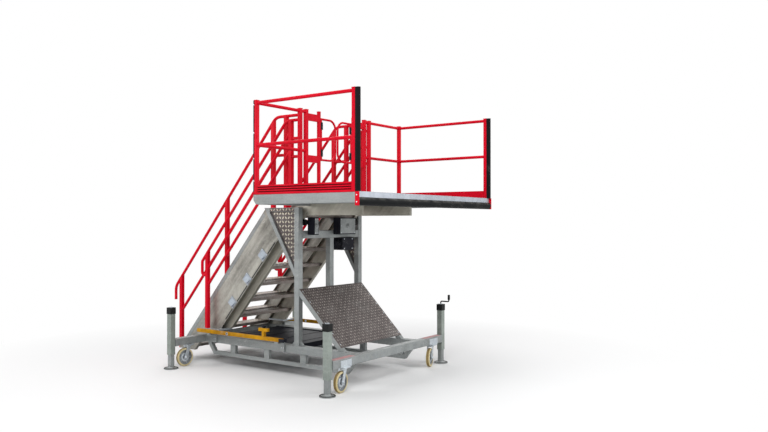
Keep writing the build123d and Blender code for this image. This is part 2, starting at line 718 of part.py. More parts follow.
def slide_top_rail():
    level = DECK_TOP + SLIDE_RAIL_LEVEL
    y = -SLIDE_RAIL_Y
    bend_x = edge_x(level - HANDRAIL_HEIGHT, FLIGHT_DROP)
    nose_x = SLIDE_POST_X - RETURN_REACH
    nose_z = slide_rail_z(nose_x, 0)
    back_z = nose_z - RETURN_DROP
    end_x = REAR_POST_X - GUARD_POST / 2
    points = [
        (SLIDE_POST_X - HANDRAIL_POST / 2, y, back_z), (nose_x, y, back_z), (nose_x, y, nose_z),
        (bend_x, y, level), (end_x, y, level),
    ]
    return pipe(points, [RETURN_BEND, RETURN_BEND, RAIL_BEND], RAIL_RADIUS)


def slide_posts():
    top = DECK_TOP + SLIDE_RAIL_LEVEL
    low = stair_post(SLIDE_POST_X, lambda px: SLIDE_FOOT_Z, lambda px: slide_rail_z(px, 0), SLIDE_RAIL_Y)
    high = stair_post(TOP_POST_X, lambda px: FRAME_TOP, lambda px: top, SLIDE_RAIL_Y)
    return [post - slide_top_rail() for post in (low, high)]


def slide_low_rails():
    """Lower rails on the slope, and the level stubs that tie the top post to the guard."""
    y = -SLIDE_RAIL_Y
    half = HANDRAIL_POST / 2
    rails = []
    for row in range(1, SLIDE_RAILS):
        rail = rod((SLIDE_POST_X, y, slide_rail_z(SLIDE_POST_X, row)), (TOP_POST_X, y, slide_rail_z(TOP_POST_X, row)),
                   RAIL_RADIUS)
        for face in slide_post_faces():
            rail -= face
        rails.append(rail)
        level = DECK_TOP + SLIDE_RAIL_LEVEL - row * SLIDE_RAIL_STEP
        rails.append(rod((TOP_POST_X + half, y, level), (REAR_POST_X - GUARD_POST / 2, y, level), RAIL_RADIUS))
    return rails


# Base

def base_rail():
    half = BASE_SECTION / 2
    ends = (REAR_BEAM_X + half, FRONT_BEAM_X - half)
    return section(ends, around(-RAIL_Y, BASE_SECTION), (BASE_BOTTOM, BASE_TOP), Axis.X)


def cross_beam(x):
    return section(around(x, BASE_SECTION), (-BEAM_HALF, BEAM_HALF), (BASE_BOTTOM, BASE_TOP), Axis.Y)


def rear_beam():
    """Square-cornered envelope of the rear cross beam, for notching the stringers over it."""
    return block(around(REAR_BEAM_X, BASE_SECTION), (-BEAM_HALF, BEAM_HALF), (BASE_BOTTOM, BASE_TOP))


def under_chord():
    """Lower chord hung under a base rail, ramped up to it at both ends."""
    back = REAR_BEAM_X + BASE_SECTION / 2
    front = FRONT_BEAM_X - BASE_SECTION / 2
    top = CHORD_BOTTOM + CHORD_SECTION
    knee = CHORD_RAMP + CHORD_SECTION / 2
    head = 3 * CHORD_SECTION / 2
    outline = [
        (back, BASE_BOTTOM), (back + CHORD_RAMP, CHORD_BOTTOM),
        (front - CHORD_RAMP, CHORD_BOTTOM), (front, BASE_BOTTOM),
        (front - head, BASE_BOTTOM), (front - knee, top),
        (back + knee, top), (back + head, BASE_BOTTOM),
    ]
    return plate(outline, around(-RAIL_Y, CHORD_SECTION))


def chord_spacers():
    """Evenly spaced blocks between each base rail and its lower chord."""
    z = (CHORD_BOTTOM + CHORD_SECTION, BASE_BOTTOM)
    first = REAR_BEAM_X + SPACER_REAR_GAP
    pitch = (FRONT_BEAM_X - SPACER_FRONT_GAP - first) / (SPACERS - 1)
    middles = [first + place * pitch for place in range(SPACERS)]
    return both_sides([block(around(x, SPACER_LENGTH), around(-RAIL_Y, CHORD_SECTION), z) for x in middles])


def ballast_tray():
    half = RAIL_Y - BASE_SECTION / 2
    return [block(TRAY_X, (-half, half), TRAY_Z)]


# Tower

def tower_post():
    """Square post with a triangular foot gusset ahead of it and behind it."""
    post = section(around(TOWER_X, TOWER_SECTION), around(-RAIL_Y, TOWER_SECTION), (BASE_TOP, TOWER_TOP), Axis.Z)
    for way in (-1, 1):
        face = TOWER_X + way * TOWER_SECTION / 2
        outline = [(face, BASE_TOP), (face + way * TOWER_FOOT, BASE_TOP), (face, BASE_TOP + TOWER_FOOT)]
        post += plate(outline, around(-RAIL_Y, TOWER_FOOT_PLATE))
    return post


def tower_beam():
    half = RAIL_Y - TOWER_SECTION / 2
    return [section(around(TOWER_X, TOWER_SECTION), (-half, half), TOWER_BEAM_Z, Axis.Y)]


def centre_post():
    foot = BRACE_TOP_Z - BRACE_SECTION
    return [section(around(TOWER_X, CENTRE_POST), around(0, CENTRE_POST), (foot, TOWER_BEAM_Z[0]), Axis.Z)]


def panel_sill():
    """Cross tube between the tower posts under the centre post."""
    half = RAIL_Y - TOWER_SECTION / 2
    top = BRACE_TOP_Z - BRACE_SECTION
    return [section(around(TOWER_X, CENTRE_POST), (-half, half), (top - CENTRE_POST, top), Axis.Y)]


def gusset_plate():
    corner = (TOWER_REAR_X, TOWER_TOP - GUSSET_TUBE)
    reach = GUSSET_REACH * (1 - GUSSET_TUBE / GUSSET_DROP)
    outline = [corner, (TOWER_REAR_X - reach, corner[1]), (TOWER_REAR_X, TOWER_TOP - GUSSET_DROP)]
    return plate(outline, around(-RAIL_Y, GUSSET_PLATE))


def gusset_tube():
    """Sloping tube behind the gusset plate with the level bar along the plate's top."""
    top, foot = gusset_back()
    head = (TOWER_REAR_X - GUSSET_REACH, TOWER_TOP)
    y = around(-RAIL_Y, GUSSET_TUBE)
    slope = plate([head, top, foot, (TOWER_REAR_X, TOWER_TOP - GUSSET_DROP)], y)
    reach = GUSSET_REACH * (1 - GUSSET_TUBE / GUSSET_DROP)
    low = TOWER_TOP - GUSSET_TUBE
    bar = plate([head, (TOWER_REAR_X - reach, low), (TOWER_REAR_X, low), (TOWER_REAR_X, TOWER_TOP)], y)
    return slope + bar


def brace_line(offset):
    """Ends of the front brace's line, square to it by offset: at the tower and on the rail."""
    run = BRACE_FOOT_X - (TOWER_X + TOWER_SECTION / 2)
    fall = BRACE_TOP_Z - BASE_TOP
    span = hypot(run, fall)
    return (
        (TOWER_X + TOWER_SECTION / 2, BRACE_TOP_Z + offset * span / run),
        (BRACE_FOOT_X + offset * span / fall, BASE_TOP),
    )


def tower_brace():
    upper = brace_line(0)
    lower = brace_line(-BRACE_SECTION)
    return plate([upper[0], upper[1], lower[1], lower[0]], around(-RAIL_Y, BRACE_SECTION))


def slope_panel():
    """Tread-plate panel between the two front braces, level with their tops."""
    low = brace_line(-PANEL_THICK)
    high = brace_line(0)
    share = PANEL_RISE / (BRACE_TOP_Z - BASE_TOP)
    foot = [(px + share * (tx - px), pz + share * (tz - pz)) for (tx, tz), (px, pz) in (low, high)]
    width = RAIL_Y - BRACE_SECTION / 2
    return [plate([low[0], high[0], foot[1], foot[0]], (-width, width))]


def winch():
    """Gear motor hung under the tower beam, and the gear cases on the beam's front face."""
    z = (TOWER_BEAM_Z[0] - WINCH_HEIGHT, TOWER_BEAM_Z[0])
    case = block(around(TOWER_X, WINCH_DEPTH), WINCH_Y, z)
    axis_z = z[0] + WINCH_HEIGHT / 2
    motor = rod((TOWER_X, WINCH_Y[0] - MOTOR_LENGTH, axis_z), (TOWER_X, WINCH_Y[0], axis_z), MOTOR_RADIUS)
    front = TOWER_X + TOWER_SECTION / 2
    low = TOWER_BEAM_Z[1] - GEAR_LAP
    gears = [block((front, front + GEAR_DEPTH), y, (low, low + GEAR_HEIGHT)) for y in GEAR_Y]
    return [case + motor] + gears


# Jacks

def jack_places():
    return {
        "front_right": (FRONT_BEAM_X, -JACK_Y),
        "front_left": (FRONT_BEAM_X, JACK_Y),
        "rear_right": (REAR_BEAM_X, -JACK_Y),
        "rear_left": (REAR_BEAM_X, JACK_Y),
    }


def jack_housings():
    bore = JACK_LEG + 2 * JACK_CLEARANCE
    tubes = []
    for x, y in jack_places().values():
        tube = section(around(x, JACK_TUBE), around(y, JACK_TUBE), JACK_TUBE_Z, Axis.Z)
        tubes.append(tube - block(around(x, bore), around(y, bore), JACK_TUBE_Z))
    return tubes


def jack_caps():
    """Caps on the jack tubes, with the crank handle standing on the front left one."""
    z = (JACK_TUBE_Z[1], JACK_TUBE_Z[1] + JACK_CAP)
    caps = {}
    for corner, (x, y) in jack_places().items():
        width = JACK_TUBE + 2 * JACK_CAP_LIP
        caps[corner] = section(around(x, width), around(y, width), z, Axis.Z)
    caps["front_left"] += jack_crank()
    return list(caps.values())


def jack_leg(x, y):
    pad = Pos(x, y, JACK_PAD_THICK / 2) * Cylinder(JACK_PAD_RADIUS, JACK_PAD_THICK)
    cone = Pos(x, y, JACK_PAD_THICK + JACK_PAD_CONE / 2) * Cone(JACK_PAD_RADIUS / 2, JACK_LEG / 2, JACK_PAD_CONE)
    leg = block(around(x, JACK_LEG), around(y, JACK_LEG), (JACK_PAD_THICK + JACK_PAD_CONE, JACK_LEG_TOP))
    return [pad + cone + leg]


def jack_crank():
    """Cranked handle for the front left jack's screw."""
    x, y = jack_places()["front_left"]
    z = JACK_TUBE_Z[1] + JACK_CAP
    high = z + CRANK_RISE
    points = [(x, y, z), (x, y, high), (x + CRANK_ARM, y, high), (x + CRANK_ARM, y, high + CRANK_GRIP)]
    return pipe(points, 2 * CRANK_RADIUS, CRANK_RADIUS)


# Castors

def castor_places():
    """Swivel axis X and Y, and the way the wheel trails from it."""
    return {
        "front_right": (FRONT_BEAM_X, -CASTOR_Y, 1),
        "front_left": (FRONT_BEAM_X, CASTOR_Y, 1),
        "rear_right": (REAR_BEAM_X, -CASTOR_Y, -1),
        "rear_left": (REAR_BEAM_X, CASTOR_Y, -1),
    }


def castor_plates():
    """Swivel plates under the cross beams, each with a flange up the beam's outer face."""
    plates = []
    for x, y, way in castor_places().values():
        sides = around(y, CASTOR_PLATE_WIDTH)
        face = x + way * BASE_SECTION / 2
        flange_x = sorted((face, face + way * CASTOR_FLANGE))
        flat = block(around(x, CASTOR_PLATE_LENGTH), sides, (BASE_BOTTOM - CASTOR_PLATE, BASE_BOTTOM))
        plates.append(flat + block(flange_x, sides, (BASE_BOTTOM, BASE_BOTTOM + CASTOR_FLANGE_HEIGHT)))
    return plates


def castor_fork(x, y, way):
    """Yoke under the swivel plate with two cheeks and the axle between them."""
    axle_x = x + way * CASTOR_TRAIL
    top = BASE_BOTTOM - CASTOR_PLATE - RUN_CLEARANCE
    inside = WHEEL_WIDTH / 2 + FORK_GAP
    outside = inside + FORK_CHEEK
    crown = Pos(x, y, top - FORK_CROWN / 2) * Cylinder(FORK_CROWN_RADIUS, FORK_CROWN)
    fork = crown
    for side in (-1, 1):
        cheek_y = sorted((y + side * inside, y + side * outside))
        half = FORK_CHEEK_WIDTH / 2
        outline = [
            (x - half, top - FORK_CROWN), (x - half, top), (x + half, top), (x + half, top - FORK_CROWN),
            (axle_x + half, WHEEL_RADIUS), (axle_x + half, WHEEL_RADIUS - half),
            (axle_x - half, WHEEL_RADIUS - half), (axle_x - half, WHEEL_RADIUS),
        ]
        fork += plate(outline, cheek_y)
    fork += rod((axle_x, y - outside, WHEEL_RADIUS), (axle_x, y + outside, WHEEL_RADIUS), AXLE_RADIUS)
    return [fork]


def swivelled(corner, pieces):
    """Castor pieces turned about the swivel axis to the way the castor stands."""
    x, y, _ = castor_places()[corner]
    return [Pos(x, y, 0) * Rot(0, 0, CASTOR_TURN[corner]) * Pos(-x, -y, 0) * piece for piece in pieces]


def wheel_ring(x, y, outer, inner, width):
    """Ring about a castor's axle, level with it."""
    ring = Cylinder(outer, width) - Cylinder(inner, width)
    return Pos(x, y, WHEEL_RADIUS) * Rot(90, 0, 0) * ring


def castor_tyre(x, y, way):
    axle_x = x + way * CASTOR_TRAIL
    return [wheel_ring(axle_x, y, WHEEL_RADIUS, WHEEL_RADIUS - TYRE_DEPTH, WHEEL_WIDTH)]


def castor_hub(x, y, way):
    """Wheel centre: rim, thin web and a boss that runs on the axle."""
    axle_x = x + way * CASTOR_TRAIL
    bore = AXLE_RADIUS + AXLE_CLEARANCE
    rim = WHEEL_RADIUS - TYRE_DEPTH
    boss = wheel_ring(axle_x, y, HUB_BOSS, bore, WHEEL_WIDTH + FORK_GAP)
    web = wheel_ring(axle_x, y, rim, bore, HUB_WEB)
    edge = wheel_ring(axle_x, y, rim, rim - RIM_EDGE, WHEEL_WIDTH - RIM_EDGE)
    return [boss + web + edge]


# Stowed bars

def stowed_bar():
    """Yellow bar along the outside of a base rail, with an upright handle near its front end."""
    y = around(-BAR_Y, BAR_WIDTH)
    bar = section(BAR_X, y, BAR_Z, Axis.X)
    bar += block(around(BAR_STEM_X, BAR_STEM), y, (BAR_Z[1], BAR_STEM_TOP))
    bar += block(around(BAR_STEM_X, BAR_HANDLE), y, (BAR_STEM_TOP - BAR_STEM, BAR_STEM_TOP))
    hole_z = (BAR_Z[0] + BAR_Z[1]) / 2
    return bar - rod((BAR_HOLE_X, y[0], hole_z), (BAR_HOLE_X, y[1], hole_z), BAR_HOLE)


def bar_carriers():
    """Angle brackets from the base rails' outer faces up to the stowed bars."""
    face = -RAIL_Y - BASE_SECTION / 2
    carriers = []
    for x in CARRIER_X:
        reach = block(around(x, CARRIER_LENGTH), (-BAR_Y - BAR_WIDTH / 2, face),
                      (BAR_Z[0] - CARRIER_THICK, BAR_Z[0]))
        tab = block(around(x, CARRIER_LENGTH), (face - CARRIER_THICK, face), (BASE_BOTTOM + SECTION_ROUND, BAR_Z[0]))
        carriers.append(reach + tab)
    return both_sides(carriers)


def machine():
    """Every piece by node name."""
    nodes = {
        "base_rails": pair(base_rail()),
        "cross_beam_front": [cross_beam(FRONT_BEAM_X)],
        "cross_beam_rear": [cross_beam(REAR_BEAM_X)],
        "under_chords": pair(under_chord()),
        "chord_spacers": chord_spacers(),
        "ballast_tray": ballast_tray(),
        "tower_posts": pair(tower_post()),
        "tower_beams": tower_beam() + panel_sill(),
        "centre_post": centre_post(),
        "gusset_plates": pair(gusset_plate()),
        "tower_braces": both_sides([gusset_tube(), tower_brace()]),
        "slope_panel": slope_panel(),
        "winch": winch(),
        "tower_rollers": tower_rollers(),
        "fixed_stringers": pair(fixed_stringer()),
        "stringer_covers": stringer_covers(),
        "fixed_treads": fixed_treads(),
        "fixed_rail_posts": both_sides(fixed_posts()),
        "fixed_rails": both_sides([fixed_top_rail()] + fixed_mid_rails()),
        "jack_housings": jack_housings(),
        "jack_caps": jack_caps(),
        "castor_plates": castor_plates(),
        "stowed_bars": pair(stowed_bar()),
        "bar_carriers": bar_carriers(),
        "slide_stringers": pair(slide_stringer()) + deck_arms(),
        "slide_treads": slide_treads() + stair_landing(),
        "slide_brackets": foot_plates() + top_wings(),
        "slide_rollers": slide_rollers(),
        "slide_rail_posts": both_sides(slide_posts()),
        "slide_rails": both_sides([slide_top_rail()] + slide_low_rails()),
        "deck_long_beams": deck_side_beams() + deck_joists(),
        "deck_end_beams": deck_end_beams(),
        "deck_floor": deck_floor(),
        "kick_boards": kick_boards(),
        "guard_posts": guard_posts(),
        "guard_rails": guard_rails(),
        "post_fenders": post_fenders(),
        "deck_fender": deck_fender(),
        "fender_brackets": fender_brackets(),
        "deck_nosing": deck_nosing(),
        "gate_frame": gate_frame(),
        "gate_hinges": gate_hinges(),
        "gate_left": gate_leaf(1),
        "gate_right": gate_leaf(-1),
    }
    for corner, place in castor_places().items():
        nodes["castor_fork_" + corner] = swivelled(corner, castor_fork(*place))
        nodes["castor_tyre_" + corner] = swivelled(corner, castor_tyre(*place))
        nodes["castor_hub_" + corner] = swivelled(corner, castor_hub(*place))
    for corner, place in jack_places().items():
        nodes["jack_leg_" + corner] = jack_leg(*place)
    return nodes


os.makedirs("parts", exist_ok=True)
for name, pieces in machine().items():
    solids = [Pos(CENTRE_SHIFT, 0, 0) * solid for piece in pieces for solid in piece.solids()]
    whole = solids[0] if len(solids) == 1 else Compound(children=solids)
    export_step(whole, "parts/" + name + ".step")
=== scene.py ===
import json
from collections import namedtuple
from itertools import product
from math import cos, pi, radians, sin, tau

import bmesh
import bpy
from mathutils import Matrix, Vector


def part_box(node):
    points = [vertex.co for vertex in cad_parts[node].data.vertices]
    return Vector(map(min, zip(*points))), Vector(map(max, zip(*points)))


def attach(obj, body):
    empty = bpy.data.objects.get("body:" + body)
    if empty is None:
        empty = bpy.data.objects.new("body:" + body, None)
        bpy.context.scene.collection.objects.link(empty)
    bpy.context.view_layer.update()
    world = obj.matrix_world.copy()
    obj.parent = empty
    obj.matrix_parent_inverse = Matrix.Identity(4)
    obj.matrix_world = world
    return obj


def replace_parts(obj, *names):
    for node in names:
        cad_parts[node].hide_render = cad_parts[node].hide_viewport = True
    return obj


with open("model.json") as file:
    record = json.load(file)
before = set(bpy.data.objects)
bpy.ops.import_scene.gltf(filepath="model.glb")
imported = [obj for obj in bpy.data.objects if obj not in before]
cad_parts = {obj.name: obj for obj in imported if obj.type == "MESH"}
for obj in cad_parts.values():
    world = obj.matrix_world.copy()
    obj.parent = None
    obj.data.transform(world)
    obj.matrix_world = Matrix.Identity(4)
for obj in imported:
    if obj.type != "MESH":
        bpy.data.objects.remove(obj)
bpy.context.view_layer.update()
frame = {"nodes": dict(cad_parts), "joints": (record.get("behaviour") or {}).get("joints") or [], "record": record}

# Camera, in the photograph's frame of 768 by 432 pixels, placed from the deck's front edge
IMAGE_WIDTH = 768
FOCAL_PIXELS = 738.8
SENSOR_MM = 36.0
CAMERA_AHEAD = 4.758
CAMERA_RIGHT = 7.638
CAMERA_HEIGHT = 1.969
CAMERA_YAW = radians(35.53)
CAMERA_PITCH = radians(0.443)
LAMP_TARGET = Vector((0.2, 0, 1.3))

# Directions that the machine is built along
AHEAD = Vector((1, 0, 0))
LEFT = Vector((0, 1, 0))
UP = Vector((0, 0, 1))
AXES = (AHEAD, LEFT, UP)
SIDES = (-1, 1)
ROUND = ((-1, -1), (1, -1), (1, 1), (-1, 1))
CORNERS = ("front_left", "front_right", "rear_left", "rear_right")
JOINTS = {joint["name"]: joint for joint in frame["joints"]}
SLOPE = Vector(JOINTS["platform_slide"]["axis"])

# Sizes of fittings, in metres
TreadBar = namedtuple("TreadBar", "pitch length width height")
FINE_BAR = TreadBar(0.034, 0.026, 0.0085, 0.0022)
PANEL_BAR = TreadBar(0.042, 0.036, 0.012, 0.0030)
BOLD_BAR = TreadBar(0.052, 0.046, 0.019, 0.0050)
EDGE_EASE = 0.0025
SINK = 0.0006
WELD = 0.0045
FINE_WELD = 0.0035
WELD_RIPPLE = 0.007
RAIL_RADIUS = 0.020
HINGE_POST = 0.040
SMALL_BOLT = 0.008
SHARP_ANGLE = radians(40)


# Geometry


class Stock:
    """Mesh parts gathered into one piece."""

    def __init__(self):
        self.points = []
        self.faces = []

    def add(self, points, faces):
        start = len(self.points)
        self.points += [tuple(point) for point in points]
        self.faces += [tuple(start + index for index in face) for face in faces]

    def block(self, low, high, ease=0.002):
        """Box with every edge and corner chamfered."""
        centre = (Vector(low) + Vector(high)) / 2
        half = (Vector(high) - Vector(low)) / 2
        ease = min(ease, 0.45 * min(half))
        points = []
        place = {}
        for signs in product(SIDES, repeat=3):
            for facing in range(3):
                reach = [size if axis == facing else size - ease for axis, size in enumerate(half)]
                place[signs, facing] = len(points)
                points.append(centre + Vector([sign * size for sign, size in zip(signs, reach)]))

        def corner(axis, way, first, second, facing):
            signs = [first, second]
            signs.insert(axis, way)
            return place[tuple(signs), facing]

        faces = [[place[signs, facing] for facing in range(3)] for signs in product(SIDES, repeat=3)]
        for axis in range(3):
            one, two = [other for other in range(3) if other != axis]
            for way in SIDES:
                faces.append([corner(axis, way, first, second, axis) for first, second in ROUND])
            for first, second in product(SIDES, repeat=2):
                ends = ((-1, one), (1, one), (1, two), (-1, two))
                faces.append([corner(axis, way, first, second, facing) for way, facing in ends])
        self.add(points, faces)

    def skin(self, points, sides, closed):
        """Faces over a row of rings; closed joins the last ring to the first, else both ends are capped."""
        rows = len(points) // sides
        faces = []
        for row in range(rows if closed else rows - 1):
            low = row * sides
            high = (row + 1) % rows * sides
            for step in range(sides):
                ahead = (step + 1) % sides
                faces.append((low + step, low + ahead, high + ahead, high + step))
        if not closed:
            faces.append(tuple(reversed(range(sides))))
            faces.append(tuple(range(len(points) - sides, len(points))))
        self.add(points, faces)

    def lathe(self, profile, place, direction, steps, closed=False):
        """Solid turned from (radius, height) points about a line; closed joins the profile's two ends."""
        basis = Vector(direction).to_track_quat("Z", "Y").to_matrix()
        points = []
        for radius, height in profile:
            for step in range(steps):
                angle = tau * step / steps
                spot = Vector((radius * cos(angle), radius * sin(angle), height))
                points.append(Vector(place) + basis @ spot)
        self.skin(points, steps, closed)

    def tube(self, path, radius, closed=False):
        """Six-sided bar along points; radius is one number or one for each point."""
        sides = 6
        path = [Vector(point) for point in path]
        radii = radius if isinstance(radius, list) else [radius] * len(path)
        count = len(path)
        points = []
        normal = None
        for index, point in enumerate(path):
            before = path[index - 1] if index or closed else point
            after = path[(index + 1) % count] if index < count - 1 or closed else point
            heading = (after - before).normalized()
            if normal is None:
                normal = heading.orthogonal().normalized()
            normal = (normal - normal.dot(heading) * heading).normalized()
            points += circle(point, normal, heading.cross(normal), radii[index], sides)
        self.skin(points, sides, closed)

    def bolt(self, place, direction, size=SMALL_BOLT):
        """Hexagon head on a round washer."""
        core = 0.1 * size
        washer = [(core, -SINK), (size, -SINK), (size, 0.16 * size), (core, 0.16 * size)]
        head = [(core, core), (0.75 * size, core), (0.75 * size, 0.62 * size),
                (0.62 * size, 0.74 * size), (core, 0.74 * size)]
        self.lathe(washer, place, direction, 16)
        self.lathe(head, place, direction, 6)

    def rivet(self, place, direction, radius, rise):
        """Low domed head."""
        dome = [(radius, -SINK), (radius, 0.25 * rise), (0.8 * radius, 0.75 * rise), (0.35 * radius, rise)]
        self.lathe(dome, place, direction, 12)

    def weld(self, corners, size=WELD):
        """Rippled bead along the straight runs between corners, back to the first one."""
        points = []
        radii = []
        for start, end in zip(corners, corners[1:] + corners[:1]):
            steps = max(2, int((end - start).length / WELD_RIPPLE))
            for step in range(steps):
                points.append(start.lerp(end, step / steps))
                radii.append(size * (0.85 if step % 2 else 1.1))
        self.tube(points, radii, True)

    def lens(self, place, direction, normal, bar):
        """One raised bar of tread plate: a long six-sided foot drawn up to a short ridge."""
        side = normal.cross(direction)
        foot = [(-0.5, 0), (-0.2, 0.5), (0.2, 0.5), (0.5, 0), (0.2, -0.5), (-0.2, -0.5)]
        base = place - SINK * normal
        top = place + bar.height * normal
        points = [base + bar.length * a * direction + bar.width * b * side for a, b in foot]
        points += [top + bar.length * a * direction for a in (-0.24, 0.24)]
        faces = [(0, 6, 1), (1, 6, 7, 2), (2, 7, 3), (3, 7, 4), (4, 7, 6, 5), (5, 6, 0), (0, 1, 2, 3, 4, 5)]
        self.add(points, faces)

    def tread_bars(self, origin, along, across, length, width, bar=FINE_BAR, keep=None):
        """Raised bars at alternating slants over a rectangle, where keep allows them."""
        normal = along.cross(across)
        columns = max(1, round(length / bar.pitch))
        rows = max(1, round(width / bar.pitch))
        for column, row in product(range(columns), range(rows)):
            u = (column + 0.5) * length / columns
            v = (row + 0.5) * width / rows
            if keep and not keep(u, v):
                continue
            way = 1 if (column + row) % 2 else -1
            direction = (along + way * across).normalized()
            self.lens(origin + u * along + v * across, direction, normal, bar)

    def slab(self, centre, along, across, normal, length, width, thick):
        """Flat bar lying on a face about a point, its top edges chamfered."""
        inset = 0.001
        points = rectangle(centre - SINK * normal, along, across, length, width)
        points += rectangle(centre + thick * normal, along, across, length - 2 * inset, width - 2 * inset)
        sides = [(k, (k + 1) % 4, 4 + (k + 1) % 4, 4 + k) for k in range(4)]
        self.add(points, [(3, 2, 1, 0), (4, 5, 6, 7)] + sides)

    def rib(self, x, low, high, margin, width, rise=0.0025, ease=0.001):
        """Raised rib across the top of a box, short of its two sides by a margin."""
        self.block((x - 0.5 * width, low.y + margin, high.z - SINK),
                   (x + 0.5 * width, high.y - margin, high.z + rise), ease)

    def done(self, name, body, slot, finish=None):
        """Makes the piece, gives it its own finish or its slot's, and hangs it on a body."""
        mesh = bpy.data.meshes.new(name)
        mesh.from_pydata(self.points, [], self.faces)
        work = bmesh.new()
        work.from_mesh(mesh)
        bmesh.ops.recalc_face_normals(work, faces=work.faces)
        work.to_mesh(mesh)
        work.free()
        mesh.polygons.foreach_set("use_smooth", [True] * len(mesh.polygons))
        mesh.set_sharp_from_angle(angle=SHARP_ANGLE)
        mesh.materials.append(FINISHES[finish or slot])
        made = bpy.data.objects.new(name, mesh)
        bpy.context.scene.collection.objects.link(made)
        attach(made, body)
        return made


def solids(node):
    """Lowest and highest corner of each separate solid in a CAD node, from the rear and the right."""
    mesh = frame["nodes"][node].data
    numbers = {}
    owner = [numbers.setdefault(tuple(round(c, 5) for c in v.co), len(numbers)) for v in mesh.vertices]
    chief = list(range(len(numbers)))

    def head(index):
        while chief[index] != index:
            chief[index] = chief[chief[index]]
            index = chief[index]
        return index

    for polygon in mesh.polygons:
        first = head(owner[polygon.vertices[0]])
        for vertex in polygon.vertices[1:]:
            chief[head(owner[vertex])] = first
    boxes = {}
    for vertex, number in zip(mesh.vertices, owner):
        low, high = boxes.setdefault(head(number), (vertex.co.copy(), vertex.co.copy()))
        low[:] = map(min, low, vertex.co)
        high[:] = map(max, high, vertex.co)
    return sorted(boxes.values(), key=lambda ends: tuple(round(c, 4) for c in ends[0]))


def outer(low, high):
    """Y of the box face that looks away from the centre plane, and the way it looks."""
    return (high.y, 1) if high.y + low.y > 0 else (low.y, -1)


def inner(low, high):
    """Y of the box face nearest the centre plane, and the way outwards from it."""
    return (low.y, 1) if high.y + low.y > 0 else (high.y, -1)


def middle(low, high):
    return (low + high) / 2


def rectangle(centre, first, second, width, height):
    """Corners of a rectangle about a point."""
    return [centre + 0.5 * (a * width * first + b * height * second) for a, b in ROUND]


def circle(centre, first, second, radius, steps):
    """Points round a circle about a point."""
    angles = [tau * step / steps for step in range(steps)]
    return [centre + radius * (cos(angle) * first + sin(angle) * second) for angle in angles]


def joint_line(name):
    """Place and direction of a joint's axis."""
    joint = JOINTS[name]
    return Vector(joint["pos_m"]), Vector(joint["axis"])


# Node groups for the effects that finishes share


class Net:
    """Nodes and links of one tree."""

    def __init__(self, tree):
        self.tree = tree

    def put(self, socket, value):
        if isinstance(value, bpy.types.NodeSocket):
            self.tree.links.new(value, socket)
        else:
            socket.default_value = value

    def node(self, kind, settings=None, **inputs):
        made = self.tree.nodes.new("ShaderNode" + kind)
        for key, value in (settings or {}).items():
            setattr(made, key, value)
        for label, value in inputs.items():
            self.put(made.inputs[label.replace("_", " ")], value)
        return made

    def effect(self, group, **inputs):
        return self.node("Group", {"node_tree": group}, **inputs).outputs

    def math(self, operation, first, second=0.0, clamp=False):
        made = self.node("Math", {"operation": operation, "use_clamp": clamp})
        self.put(made.inputs[0], first)
        self.put(made.inputs[1], second)
        return made.outputs[0]

    def times(self, first, second, clamp=False):
        return self.math("MULTIPLY", first, second, clamp)

    def plus(self, first, second, clamp=False):
        return self.math("ADD", first, second, clamp)

    def spread(self, value, low, high, start=0.0, end=1.0):
        """Value mapped from low..high to start..end and held there."""
        made = self.node("MapRange", {"clamp": True}, From_Min=low, From_Max=high, To_Min=start, To_Max=end)
        self.put(made.inputs["Value"], value)
        return made.outputs["Result"]

    def mix(self, share, first, second):
        """Colour between two colours."""
        made = self.node("Mix", {"data_type": "RGBA", "clamp_factor": True})
        self.put(made.inputs[0], share)
        self.put(made.inputs[6], first)
        self.put(made.inputs[7], second)
        return made.outputs[2]

    def blend(self, share, first, second):
        """Shader between two shaders."""
        made = self.node("MixShader")
        self.put(made.inputs[0], share)
        self.put(made.inputs[1], first)
        self.put(made.inputs[2], second)
        return made.outputs[0]

    def bump(self, shader, strength, distance, height, normal):
        """Relief over a normal, put into a shader."""
        made = self.node("Bump", None, Strength=strength, Distance=distance, Height=height, Normal=normal)
        self.put(shader["Normal"], made.outputs["Normal"])

    def noise(self, vector, scale, detail):
        made = self.node("TexNoise", None, Detail=detail, Roughness=0.55)
        self.put(made.inputs["Scale"], scale)
        self.put(made.inputs["Vector"], vector)
        return made.outputs["Fac"]

    def place(self):
        """Place on the piece, in the shared frame's metres."""
        return self.node("TexCoord").outputs["Object"]

    def turned(self, vector, angle):
        """Vector turned about Y."""
        made = self.node("VectorRotate", {"rotation_type": "Y_AXIS"}, Vector=vector, Angle=angle)
        return made.outputs["Vector"]

    def stretched(self, vector, scale):
        made = self.node("VectorMath", {"operation": "MULTIPLY"})
        self.put(made.inputs[0], vector)
        made.inputs[1].default_value = scale
        return made.outputs["Vector"]


def new_effect(name, inputs, outputs):
    """Empty node group with named number inputs and outputs of the given kinds."""
    tree = bpy.data.node_groups.new(name, "ShaderNodeTree")
    for label, value in inputs.items():
        socket = tree.interface.new_socket(label, in_out="INPUT", socket_type="NodeSocketFloat")
        socket.default_value = value
    for label, kind in outputs.items():
        tree.interface.new_socket(label, in_out="OUTPUT", socket_type="NodeSocket" + kind)
    net = Net(tree)
    given = tree.nodes.new("NodeGroupInput").outputs
    result = tree.nodes.new("NodeGroupOutput").inputs
    return tree, net, given, result


